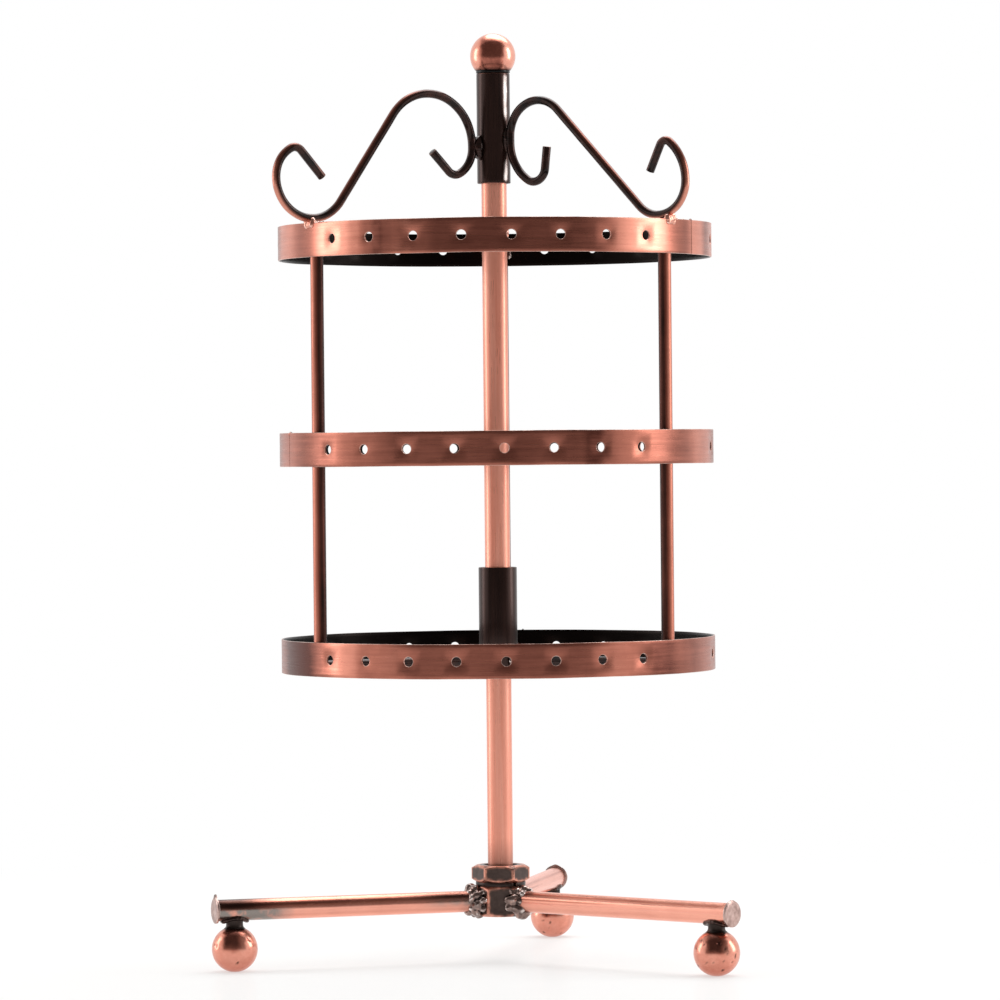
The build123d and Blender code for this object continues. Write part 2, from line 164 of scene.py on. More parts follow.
@dataclass(frozen=True)
class Finish:
    """A surface as the workshop leaves it: mostly copper plate on steel, blackened and then rubbed back.

    The tone runs from dark to bright. It follows a clouded patina, streaks along the lay, and the
    piece's own attribute "rub_and_painted_light", which carries rubbing and painted light. The attribute
    "wear_and_glint" bares the edges and paints glints, and "soot_and_shade" blackens and paints shade.
    """
    name: str
    slot: str
    dark: str
    middle: str
    bright: str
    worn_and_glint: str
    soot_and_shade: str
    level: float          # tone where nothing else acts
    cloud: float          # how much the patina's clouds change the tone
    cloud_mm: float
    streak: float         # how much the streaks change it
    streak_mm: float
    rub_and_painted_light: float            # how much the attribute "rub_and_painted_light" adds to it: rubbing and painted light
    lay: Lay
    metallic: float
    roughness: tuple[float, float]
    grain_mm: float       # pitch of the brush lines, drawn coarser than the real 0.05 mm so that they show
    bump_mm: float
    coat: float = 0.0

    def build(self) -> bpy.types.Material:
        """Makes the material.

        Returns:
            The finished material.
        """
        material = bpy.data.materials.new(self.name)
        material.use_nodes = True
        tree = material.node_tree
        shader = tree.nodes["Principled BSDF"]
        place = add_node(tree, "ShaderNodeTexCoord").outputs["Object"]
        along = self.brushed_place(tree, place)
        cloud, streak, grain = (
            add_node(tree, "ShaderNodeTexNoise", {"Vector": vector, "Scale": 1000 / pitch, "Detail": detail,
                                                  "Roughness": rough}).outputs[0]
            for vector, pitch, detail, rough in ((place, self.cloud_mm, 5.0, 0.62),
                                                 (along, self.streak_mm, 3.0, 0.6),
                                                 (along, self.grain_mm, 2.0, 0.5)))
        rub_and_painted_light, wear_and_glint, soot_and_shade = (add_node(tree, "ShaderNodeAttribute", attribute_name=name).outputs["Fac"]
                           for name in PAINTED)
        tone = self.level - (self.cloud + self.streak) / 2
        for source, amount in ((cloud, self.cloud), (streak, self.streak), (rub_and_painted_light, self.rub_and_painted_light)):
            tone = add_node(tree, "ShaderNodeMath", {0: source, 1: amount, 2: tone},
                            operation="MULTIPLY_ADD").outputs[0]
        colour = add_node(tree, "ShaderNodeValToRGB", {"Fac": tone},
                          [(0.0, self.dark), (1.0, self.bright), (0.5, self.middle)])
        # Wear and painted glints show in patches, most where the clouds brighten the tone
        patchy = add_node(tree, "ShaderNodeMath", {0: cloud, 1: 3.0, 2: -0.9}, operation="MULTIPLY_ADD",
                          use_clamp=True)
        bared = add_node(tree, "ShaderNodeMath", {0: wear_and_glint, 1: patchy.outputs[0]}, operation="MULTIPLY",
                         use_clamp=True)
        edged = add_node(tree, "ShaderNodeMix", {0: bared.outputs[0], 6: colour.outputs[0],
                                                 7: linear(self.worn_and_glint)}, data_type="RGBA")
        darkened = add_node(tree, "ShaderNodeMix", {0: soot_and_shade, 6: edged.outputs[2], 7: linear(self.soot_and_shade)},
                         data_type="RGBA")
        low, high = self.roughness
        rough = add_node(tree, "ShaderNodeMath", {0: grain, 1: high - low, 2: low}, operation="MULTIPLY_ADD")
        bump = add_node(tree, "ShaderNodeBump", {"Height": grain, "Strength": 0.6,
                                                 "Distance": self.bump_mm * MM})
        tree.links.new(darkened.outputs[2], shader.inputs["Base Color"])
        tree.links.new(rough.outputs[0], shader.inputs["Roughness"])
        tree.links.new(bump.outputs[0], shader.inputs["Normal"])
        shader.inputs["Metallic"].default_value = self.metallic
        shader.inputs["Coat Weight"].default_value = self.coat
        shader.inputs["Coat Roughness"].default_value = 0.12
        return material

    def brushed_place(self, tree: bpy.types.NodeTree, place: bpy.types.NodeSocket) -> bpy.types.NodeSocket:
        """Stretches the pattern along the lay.

        Args:
            tree: the material's nodes.
            place: the point on the piece.

        Returns:
            The point to read the pattern at.
        """
        source, stretch = self.lay.value
        if source != "object":
            place = add_node(tree, "ShaderNodeAttribute", attribute_name=source).outputs["Vector"]
        stretched = add_node(tree, "ShaderNodeVectorMath", {0: place, 1: stretch}, operation="MULTIPLY")
        return stretched.outputs[0]


# Copper plate, buffed round the hoop: salmon where the wheel bit and where a lamp's reflection is painted,
# brown where the patina stayed and where the dark side's reflection is painted.
HOOP_COPPER = Finish(
    "hoop_copper_plate", "bright_copper", dark="#5A3027", middle="#B5705E", bright="#F7A68F", worn_and_glint="#FFE3D4",
    soot_and_shade="#120C0A", level=0.28, cloud=0.25, cloud_mm=9, streak=0.3, streak_mm=1.1, rub_and_painted_light=0.72, lay=Lay.AROUND,
    metallic=0.95, roughness=(0.2, 0.4), grain_mm=0.5, bump_mm=0.012)
# The same plate drawn through a buff lengthwise: bright salmon with upright streaks.
POLE_COPPER = Finish(
    "drawn_copper_plate", "bright_copper", dark="#9C5443", middle="#EA8C73", bright="#FFB39C", worn_and_glint="#FFD9C8",
    soot_and_shade="#1A100D", level=0.78, cloud=0.12, cloud_mm=40, streak=0.95, streak_mm=2.0, rub_and_painted_light=0.0, lay=Lay.UPRIGHT,
    metallic=0.6, roughness=(0.22, 0.38), grain_mm=0.4, bump_mm=0.008)
# Plate on the legs: streaks along each leg, with grey scale ("worn_and_glint") where the torch took the
# copper off.
LEG_COPPER = Finish(
    "leg_copper_plate", "bright_copper", dark="#5A3026", middle="#CD806B", bright="#FBB09A", worn_and_glint="#8F8781",
    soot_and_shade="#1C1614", level=0.34, cloud=0.3, cloud_mm=14, streak=0.5, streak_mm=1.5, rub_and_painted_light=0.6, lay=Lay.ALONG_LEG,
    metallic=0.95, roughness=(0.16, 0.32), grain_mm=0.4, bump_mm=0.008)
# A punched disc: bare greyish pink metal, mottled by the punch.
DISC_FACE = Finish(
    "punched_disc", "bright_copper", dark="#4A3833", middle="#B89A92", bright="#EBD3CB", worn_and_glint="#FFE9DF",
    soot_and_shade="#1A1311", level=0.5, cloud=1.2, cloud_mm=2.2, streak=0.3, streak_mm=0.8, rub_and_painted_light=0.0, lay=Lay.TUMBLED,
    metallic=0.9, roughness=(0.25, 0.45), grain_mm=0.5, bump_mm=0.02)
# Balls turned and tumbled: even copper with darker clouds and pits.
BALL_COPPER = Finish(
    "tumbled_copper_plate", "bright_copper", dark="#6E3A30", middle="#D5846F", bright="#FBB7A2",
    worn_and_glint="#FFD9C8", soot_and_shade="#2A1A18", level=0.3, cloud=0.5, cloud_mm=6, streak=0.1, streak_mm=1.5, rub_and_painted_light=0.38,
    lay=Lay.TUMBLED, metallic=0.92, roughness=(0.19, 0.27), grain_mm=2.0, bump_mm=0.003)
# Liver of sulphur left on: near-black brown lacquer with copper rubbed through on the outside of the bends.
SMOKED_WIRE = Finish(
    "smoked_wire", "dark_copper", dark="#140D0B", middle="#7A4536", bright="#E79A84", worn_and_glint="#F2BFAC",
    soot_and_shade="#0C0807", level=0.05, cloud=0.3, cloud_mm=7, streak=0.15, streak_mm=1.2, rub_and_painted_light=0.8, lay=Lay.TUMBLED,
    metallic=0.85, roughness=(0.14, 0.3), grain_mm=1.2, bump_mm=0.008, coat=0.3)
# The same lacquer on drawn tube: brown-black with fine upright streaks, and one upright band painted nearly
# silver as a highlight.
SMOKED_SLEEVE = Finish(
    "smoked_sleeve", "dark_copper", dark="#1A100E", middle="#4A3029", bright="#D9CFCA", worn_and_glint="#A26A57",
    soot_and_shade="#0A0706", level=0.2, cloud=0.2, cloud_mm=12, streak=0.5, streak_mm=1.7, rub_and_painted_light=0.75, lay=Lay.UPRIGHT,
    metallic=0.75, roughness=(0.2, 0.4), grain_mm=0.45, bump_mm=0.012, coat=0.08)
# Drawn rod, smoked: nearly black, with a band of red-brown copper painted as a highlight on the side turned
# towards a lamp.
ROD_WITH_PAINTED_HIGHLIGHT = Finish(
    "rod_painted_highlight", "rubbed_copper", dark="#1C100D", middle="#8A4A3A", bright="#DE8F79", worn_and_glint="#F6D0C0",
    soot_and_shade="#120B0A", level=0.1, cloud=0.24, cloud_mm=16, streak=0.4, streak_mm=1.2, rub_and_painted_light=0.66, lay=Lay.UPRIGHT,
    metallic=0.8, roughness=(0.26, 0.42), grain_mm=0.4, bump_mm=0.01)
# Gunmetal blacking on the nuts, with copper bared along their corners.
NUT_BLACK = Finish(
    "blackened_nut", "dark_nut", dark="#221916", middle="#5A4B46", bright="#9A8981", worn_and_glint="#F0A48C",
    soot_and_shade="#0E0A09", level=0.36, cloud=0.7, cloud_mm=3.5, streak=0.2, streak_mm=1.0, rub_and_painted_light=0.4, lay=Lay.TUMBLED,
    metallic=0.85, roughness=(0.24, 0.46), grain_mm=0.5, bump_mm=0.02)
# Weld metal left as it froze: grey lumps, with painted shade in their hollows and painted glints on their
# crests.
WELD_SCALE = Finish(
    "weld_scale", "weld", dark="#2A1F1C", middle="#8C7770", bright="#E8B9A9", worn_and_glint="#FFF4EE",
    soot_and_shade="#0A0706", level=0.45, cloud=1.5, cloud_mm=3.4, streak=0.3, streak_mm=0.8, rub_and_painted_light=0.6, lay=Lay.TUMBLED,
    metallic=1.0, roughness=(0.08, 0.3), grain_mm=0.4, bump_mm=0.03, coat=0.3)
# The lumps under the scrolls took the copper plate, with painted glints on their pale pink crests.
LUMP_COPPER = Finish(
    "plated_lump", "bright_copper", dark="#5A342A", middle="#C98673", bright="#F7B5A0", worn_and_glint="#FFE9DF",
    soot_and_shade="#1A100D", level=0.4, cloud=0.8, cloud_mm=3.0, streak=0.2, streak_mm=0.8, rub_and_painted_light=0.5, lay=Lay.TUMBLED,
    metallic=0.95, roughness=(0.14, 0.34), grain_mm=0.5, bump_mm=0.02)
# Screw stock as bought: even, cool light grey.
ZINC_STEEL = Finish(
    "zinc_plated_steel", "bare_steel", dark="#77777A", middle="#9A9B9E", bright="#C4C5C8", worn_and_glint="#E0E0E0",
    soot_and_shade="#202020", level=0.5, cloud=0.5, cloud_mm=3, streak=0.3, streak_mm=0.8, rub_and_painted_light=0.0, lay=Lay.TUMBLED,
    metallic=1.0, roughness=(0.25, 0.45), grain_mm=0.3, bump_mm=0.01)
# Moulded bearing plastic: warm off-white with a dull sheen.
NYLON = Finish(
    "natural_nylon", "nylon", dark="#C9C4B6", middle="#DAD6CA", bright="#E8E5DC", worn_and_glint="#F2F0EA",
    soot_and_shade="#6A665C", level=0.5, cloud=0.4, cloud_mm=3, streak=0.3, streak_mm=0.9, rub_and_painted_light=0.0, lay=Lay.TUMBLED,
    metallic=0.0, roughness=(0.4, 0.55), grain_mm=0.3, bump_mm=0.01)


class FinishShelf:
    """Makes each finish once and hands it out."""

    def __init__(self) -> None:
        """Starts with no material made."""
        self.made: dict[str, bpy.types.Material] = {}

    def get(self, finish: Finish) -> bpy.types.Material:
        """Gives a finish's material, made at its first use."""
        if finish.name not in self.made:
            self.made[finish.name] = finish.build()
        return self.made[finish.name]


SHELF = FinishShelf()


class Form:
    """A mesh being worked, in millimetres, with the attributes that its finish reads."""

    def __init__(self, mesh: bpy.types.Mesh | None = None) -> None:
        """Starts a form.

        Args:
            mesh: what it starts with, or nothing.
        """
        self.bm = bmesh.new()
        if mesh:
            self.bm.from_mesh(mesh)
        self.layers = {name: self.bm.verts.layers.float.new(name) for name in PAINTED}

    def paint(self, name: str, rule: Callable[[Any], float], verts: Iterable[Any] | None = None,
              over: bool = False) -> None:
        """Sets an attribute on vertices.

        Args:
            name: one of those painted.
            rule: gives the value for a vertex.
            verts: the vertices, or all of them.
            over: whether it replaces what is there, or only raises it.
        """
        layer = self.layers[name]
        for vert in self.bm.verts if verts is None else verts:
            vert[layer] = rule(vert) if over else max(vert[layer], rule(vert))

    def lathe(self, profile: Sequence[tuple[float, float]], segments: int = 96,
              closed: bool = False) -> "Form":
        """Turns a profile of radius and height about the Z axis.

        Args:
            profile: the points, on the axis at both ends unless it is closed.
            segments: how many steps round.
            closed: whether the last point joins the first.

        Returns:
            The form itself.
        """
        verts = [self.bm.verts.new((radius, 0, height)) for radius, height in profile]
        pairs = list(zip(verts, verts[1:])) + ([(verts[-1], verts[0])] if closed else [])
        edges = [self.bm.edges.new(pair) for pair in pairs]
        bmesh.ops.spin(self.bm, geom=verts + edges, cent=(0, 0, 0), axis=(0, 0, 1), dvec=(0, 0, 0),
                       angle=2 * math.pi, steps=segments, use_merge=True)
        bmesh.ops.remove_doubles(self.bm, verts=self.bm.verts, dist=0.001)
        bmesh.ops.recalc_face_normals(self.bm, faces=self.bm.faces)
        return self

    def round_edges(self, offset: float, sharp: float = 35.0, segments: int = 2, wear_and_glint: float = 1.0,
                    keep: Callable[[Any], bool] | None = None) -> "Form":
        """Rounds every sharp edge and marks its crest as worn.

        Args:
            offset: the width taken off each side.
            sharp: the least angle that counts as an edge.
            segments: faces across the rounding, an even number.
            wear_and_glint: how worn the crest is.
            keep: picks the edges, or all sharp ones.

        Returns:
            The form itself.
        """
        edges = [e for e in self.bm.edges if len(e.link_faces) == 2
                 and e.calc_face_angle(0) > math.radians(sharp) and (keep is None or keep(e))]
        made = bmesh.ops.bevel(self.bm, geom=edges, offset=offset, offset_type="OFFSET", segments=segments,
                               profile=0.5, affect="EDGES", clamp_overlap=True, material=-1)
        new = set(made["faces"])
        crest = [v for v in made["verts"] if all(f in new for f in v.link_faces)]
        self.paint("wear_and_glint", lambda vert: wear_and_glint, crest)
        return self

    def ripple(self, depth: float, pitch: float, seed: float = 0.0) -> "Form":
        """Moves the surface in and out a little, as handwork leaves it.

        Args:
            depth: how far at most.
            pitch: the size of one ripple.
            seed: shifts the pattern.

        Returns:
            The form itself.
        """
        self.bm.normal_update()
        shift = Vector((seed, seed * 0.7, seed * 1.3))
        moves = [v.normal * noise.noise(v.co / pitch + shift) * depth for v in self.bm.verts]
        for vert, move in zip(self.bm.verts, moves):
            vert.co += move
        return self

    def mark_place(self, name: str) -> "Form":
        """Keeps where each vertex is now, in metres, for a pattern that follows the piece."""
        layer = self.bm.verts.layers.float_vector.new(name)
        for vert in self.bm.verts:
            vert[layer] = vert.co * MM
        return self

    def turned(self, matrix: Matrix) -> "Form":
        """Moves the whole form by a matrix."""
        bmesh.ops.transform(self.bm, matrix=matrix, verts=self.bm.verts)
        return self

    def finish(self, name: str, body: str, finish: Finish, nodes: Sequence[str],
               crease: float = 38.0) -> bpy.types.Object:
        """Makes the piece's object and hangs it on its body.

        Args:
            name: the piece's name.
            body: the body that it rides on.
            finish: its finish.
            nodes: the CAD nodes that it stands for.
            crease: the angle from which an edge shows sharp.

        Returns:
            The new object.
        """
        bmesh.ops.recalc_face_normals(self.bm, faces=self.bm.faces)
        bmesh.ops.scale(self.bm, vec=(MM, MM, MM), verts=self.bm.verts)
        piece = place_mesh(self.bm, name)
        piece.data.shade_smooth()
        piece.data.set_sharp_from_angle(angle=math.radians(crease))
        piece.data.materials.append(SHELF.get(finish))
        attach(piece, body)
        if nodes:
            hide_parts(*nodes)
        LOG.info("%s: %d faces on %s", name, len(piece.data.polygons), body)
        return piece


def tube_profile(outer: float, inner: float, foot: float, top: float,
                 steps: int = 1) -> list[tuple[float, float]]:
    """Gives the profile of a tube, or of a bar.

    Args:
        outer: its radius.
        inner: the radius of its bore, 0 for a bar.
        foot: where it starts.
        top: where it ends.
        steps: faces along its outside.

    Returns:
        The points, from the bore's foot round the outside to the bore's top.
    """
    outside = [(outer, foot + (top - foot) * i / steps) for i in range(steps + 1)]
    return [(inner, foot)] + outside + [(inner, top)]


def ball_arc(radius: float, centre: float, start: float, end: float, steps: int) -> list[tuple[float, float]]:
    """Gives the profile of a ball.

    Args:
        radius: the ball's radius.
        centre: the height of its centre.
        start: the angle at which the arc starts, from the ball's lowest point, in radians.
        end: the angle at which it ends.
        steps: faces along it.

    Returns:
        The points of radius and height.
    """
    turns = (start + (end - start) * i / steps for i in range(steps + 1))
    return [(radius * math.sin(turn), centre - radius * math.cos(turn)) for turn in turns]


def from_solid(node: str) -> Form:
    """Copies a CAD node's mesh as a form with clean faces.

    Args:
        node: the node's name.

    Returns:
        The form, in millimetres.
    """
    form = Form(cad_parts[node].data)
    bmesh.ops.scale(form.bm, vec=(1 / MM, 1 / MM, 1 / MM), verts=form.bm.verts)
    bmesh.ops.remove_doubles(form.bm, verts=form.bm.verts, dist=0.002)
    bmesh.ops.dissolve_limit(form.bm, angle_limit=math.radians(0.6), verts=form.bm.verts,
                             edges=form.bm.edges, delimit=set())
    return form


@dataclass(frozen=True)
class Weld:
    """A run of weld metal: drops laid next to each other that froze into one bead."""
    name: str
    body: str
    node: str
    drops: Sequence[tuple[Vector, float]]
    grit: float = 0.35      # how lumpy it froze
    pitch: float = 1.6      # size of those lumps
    voxel: float = 0.34
    melted: int = 2         # how far its drops ran into each other
    rub_and_painted_light: float = 0.0
    hollow_shade: float = 0.85     # how dark its hollows are painted: painted shade
    glint: float = 1.0      # how bright its crests are painted: a painted glint
    finish: Finish = WELD_SCALE

    @staticmethod
    def crest(vert: Any) -> float:
        """Gives how far a vertex stands out from its neighbours, below 0 in a hollow."""
        around = [edge.other_vert(vert).co for edge in vert.link_edges]
        middle = sum(around, Vector()) / len(around)
        spread = sum((place - vert.co).length for place in around) / len(around)
        return (vert.co - middle).dot(vert.normal) / spread

    def build(self) -> bpy.types.Object:
        """Melts the drops together.

        Returns:
            The bead's object.
        """
        drops = bmesh.new()
        for centre, radius in self.drops:
            bmesh.ops.create_icosphere(drops, subdivisions=3, radius=radius,
                                       matrix=Matrix.Translation(centre))
        holder = place_mesh(drops, self.name + "_drops")
        melt = holder.modifiers.new("melt", "REMESH")
        melt.mode = "VOXEL"
        melt.voxel_size = self.voxel
        rough = holder.data
        melted = Form(holder.evaluated_get(bpy.context.evaluated_depsgraph_get()).to_mesh())
        bpy.data.objects.remove(holder)
        bpy.data.meshes.remove(rough)
        for _ in range(self.melted):
            bmesh.ops.smooth_vert(melted.bm, verts=melted.bm.verts, factor=0.5, use_axis_x=True,
                                  use_axis_y=True, use_axis_z=True)
        melted.ripple(self.grit, self.pitch, 5.1)
        melted.bm.normal_update()
        melted.paint("rub_and_painted_light", lambda vert: self.rub_and_painted_light)
        # Painted shade darkens the hollows, and painted glints brighten the crests
        melted.paint("soot_and_shade", lambda vert: self.hollow_shade * smooth(-self.crest(vert), 0.02, 0.1))
        melted.paint("wear_and_glint", lambda vert: self.glint * smooth(self.crest(vert), 0.07, 0.14))
        return melted.finish(self.name, self.body, self.finish, [self.node], crease=80)


@dataclass
class Foot:
    """One leg of the tripod with its cap, neck and ball."""
    name: str
    angle: float
    # painted reflection bands along the leg, bright and dark
    painted_reflection_bands: Callable[[Any], float]
    heat: float = 0.3     # how black it is near the hub
    stain: float = 0.0    # how black its outer end is
    spur: float = 0.3     # how far the burr stands up at the disc's top
    root: float = 9.6     # where its tube starts, from the pole's axis
    ball_r: float = 8.1
    ball_z: float = 7.94
    flat_r: float = 1.6
    neck_r: float = 3.0
    flare: float = 0.75   # how much wider the neck is at its ends
    sunk: float = 0.9     # how far it goes into the leg
    cap_r: float = 4.6
    cap_thickness: float = 0.8
    plug_r: float = 2.78
    plug_length: float = 4.0

    def build(self) -> None:
        """Builds the leg, its cap, neck and ball."""
        self.build_leg()
        self.build_cap()
        self.build_neck()
        self.build_ball()

    def outwards(self) -> Matrix:
        """Gives the matrix that lays a form's Z axis along the leg, from the pole's axis."""
        lay_down = Matrix.Translation((0, 0, LEG_Z)) @ Matrix.Rotation(math.radians(90), 4, "Y")
        return Matrix.Rotation(math.radians(self.angle), 4, "Z") @ lay_down

    def build_leg(self) -> None:
        """Builds the tube with painted reflection bands along it, blackened near the hub."""
        form = Form().lathe(tube_profile(LEG_R, LEG_R - TUBE_WALL, self.root, LEG_END, steps=24), segments=64,
                            closed=True)
        form.mark_place("leg_place").turned(self.outwards())
        form.bm.normal_update()
        # Paints the reflection bands along the leg
        form.paint("rub_and_painted_light", self.painted_reflection_bands, over=True)
        form.paint("soot_and_shade", self.scorch)
        form.paint("wear_and_glint", self.scale)
        form.finish("leg_tube_" + self.name, BASE, LEG_COPPER, ["leg_" + self.name])

    def scorch(self, vert: Any) -> float:
        """Gives how black a vertex is: round the root, along one strip by the hub, and at the outer end."""
        reach = vert.co.xy.length
        root = 0.9 * (1 - smooth(reach, 12, 15))
        strip = band(vert.normal.z, 0.62, 0.28) * (1 - smooth(reach, 20, 44))
        end = smooth(reach, LEG_END - 26, LEG_END - 8) * smooth(vert.normal.z, -0.05, 0.25)
        return max(root, self.heat * strip, self.stain * end)

    def scale(self, vert: Any) -> float:
        """Gives how grey a vertex is: below the middle, at the outer end and a little by the hub."""
        reach = vert.co.xy.length
        end = smooth(reach, LEG_END - 30, LEG_END - 9)
        hub = 0.5 * (1 - smooth(reach, 16, 34)) * band(vert.normal.z, 0, 0.35)
        return 3.0 * self.stain * max(end * (1 - smooth(vert.normal.z, -0.05, 0.25)), hub)

    def build_cap(self) -> None:
        """Builds the pressed disc, slightly domed, with the burr that its punch left."""
        face = LEG_END + self.cap_thickness
        profile = [(0, LEG_END - self.plug_length), (self.plug_r, LEG_END - self.plug_length),
                   (self.plug_r, LEG_END), (self.cap_r, LEG_END), (self.cap_r, face - 0.1),
                   (self.cap_r - 0.5, face + 0.12), (2.6, face + 0.02), (0, face)]
        form = Form().lathe(profile, segments=56).round_edges(offset=0.12, sharp=40)
        burr = [vert for vert in form.bm.verts
                if vert.co.xy.length > self.cap_r - 0.3 and vert.co.z > LEG_END]
        for vert in burr:
            turn = math.atan2(vert.co.y, vert.co.x)
            top = band(abs(turn), math.pi, 0.22)
            ragged = 0.022 * noise.noise(Vector((turn * 2.1, self.angle, 0)))
            vert.co.xy *= 1 + ragged + self.spur * top / self.cap_r
            vert[form.layers["soot_and_shade"]] = 0.9 * top * min(1.0, self.spur)
        form.turned(self.outwards())
        form.finish("leg_disc_" + self.name, BASE, DISC_FACE, ["leg_cap_" + self.name])

    def build_neck(self) -> None:
        """Builds the waisted neck between the ball and the leg."""
        seat = self.ball_z + math.sqrt(self.ball_r ** 2 - self.neck_r ** 2)
        top = LEG_Z - LEG_R + self.sunk
        low = seat - 0.25
        waist = [(self.neck_r + self.flare * (2 * t - 1) ** 4, low + (top - low) * t)
                 for t in (i / 10 for i in range(11))]
        form = Form().lathe([(0, low)] + waist + [(0, top)], segments=48)
        form.turned(Matrix.Translation(polar(FOOT_CIRCLE, self.angle, 0)))
        form.paint("soot_and_shade", lambda vert: 0.55)
        form.finish("neck_" + self.name, BASE, NUT_BLACK, ["foot_stud_" + self.name])

    def build_ball(self) -> None:
        """Builds the ball, worn flat where it stands, with small pits and a dark collar under the neck."""
        arc = ball_arc(self.ball_r, self.ball_z, start=math.asin(self.flat_r / self.ball_r),
                       end=math.pi - math.asin(self.neck_r / self.ball_r), steps=40)
        form = Form().lathe([(0, arc[0][1])] + arc + [(0, arc[-1][1])], segments=80)
        form.turned(Matrix.Translation(polar(FOOT_CIRCLE, self.angle, 0)))
        form.bm.normal_update()
        for vert in form.bm.verts:
            pit = noise.noise(vert.co / 1.5 + Vector((self.angle, 3, 7))) - 0.5
            if pit > 0 and vert.co.z > 1:
                vert.co -= vert.normal * pit * 1.6
                vert[form.layers["soot_and_shade"]] = min(0.9, pit * 9)
        # Painted light on the ball: a painted dark reflection in the middle of its upper half, with painted
        # bright rims either side
        form.paint("soot_and_shade", lambda vert: max(0.85 * smooth(vert.co.z, 14.0, 15.4), self.dark_reflection_and_patina(vert)))
        form.paint("rub_and_painted_light", lambda vert: 1.0 - 1.7 * self.dark_reflection_and_patina(vert), over=True)
        form.finish("ball_" + self.name, BASE, BALL_COPPER, ["foot_ball_" + self.name])

    def dark_reflection_and_patina(self, vert: Any) -> float:
        """Gives how dark a ball is in the middle of its upper half, seen from the camera's side: partly
        patina that the tumbling left, partly a painted dark reflection between painted bright rims.
        """
        across = vert.normal.dot(polar(1, CAMERA_SIDE + 84, 0))
        ragged = 0.12 * noise.noise(vert.co / 4 + Vector((self.angle, 0, 0)))
        upper = smooth(vert.normal.z + ragged, -0.12, 0.3)
        return 0.62 * (1 - smooth(abs(across) + ragged, 0.2, 0.5)) * upper


@dataclass(frozen=True)
class DropRing:
    """A ring of weld drops round a leg, close to the hub."""
    count: int
    reach: float          # from the pole's axis
    wide: float           # half its width
    high: float           # half its height
    size: float           # its drops' radius


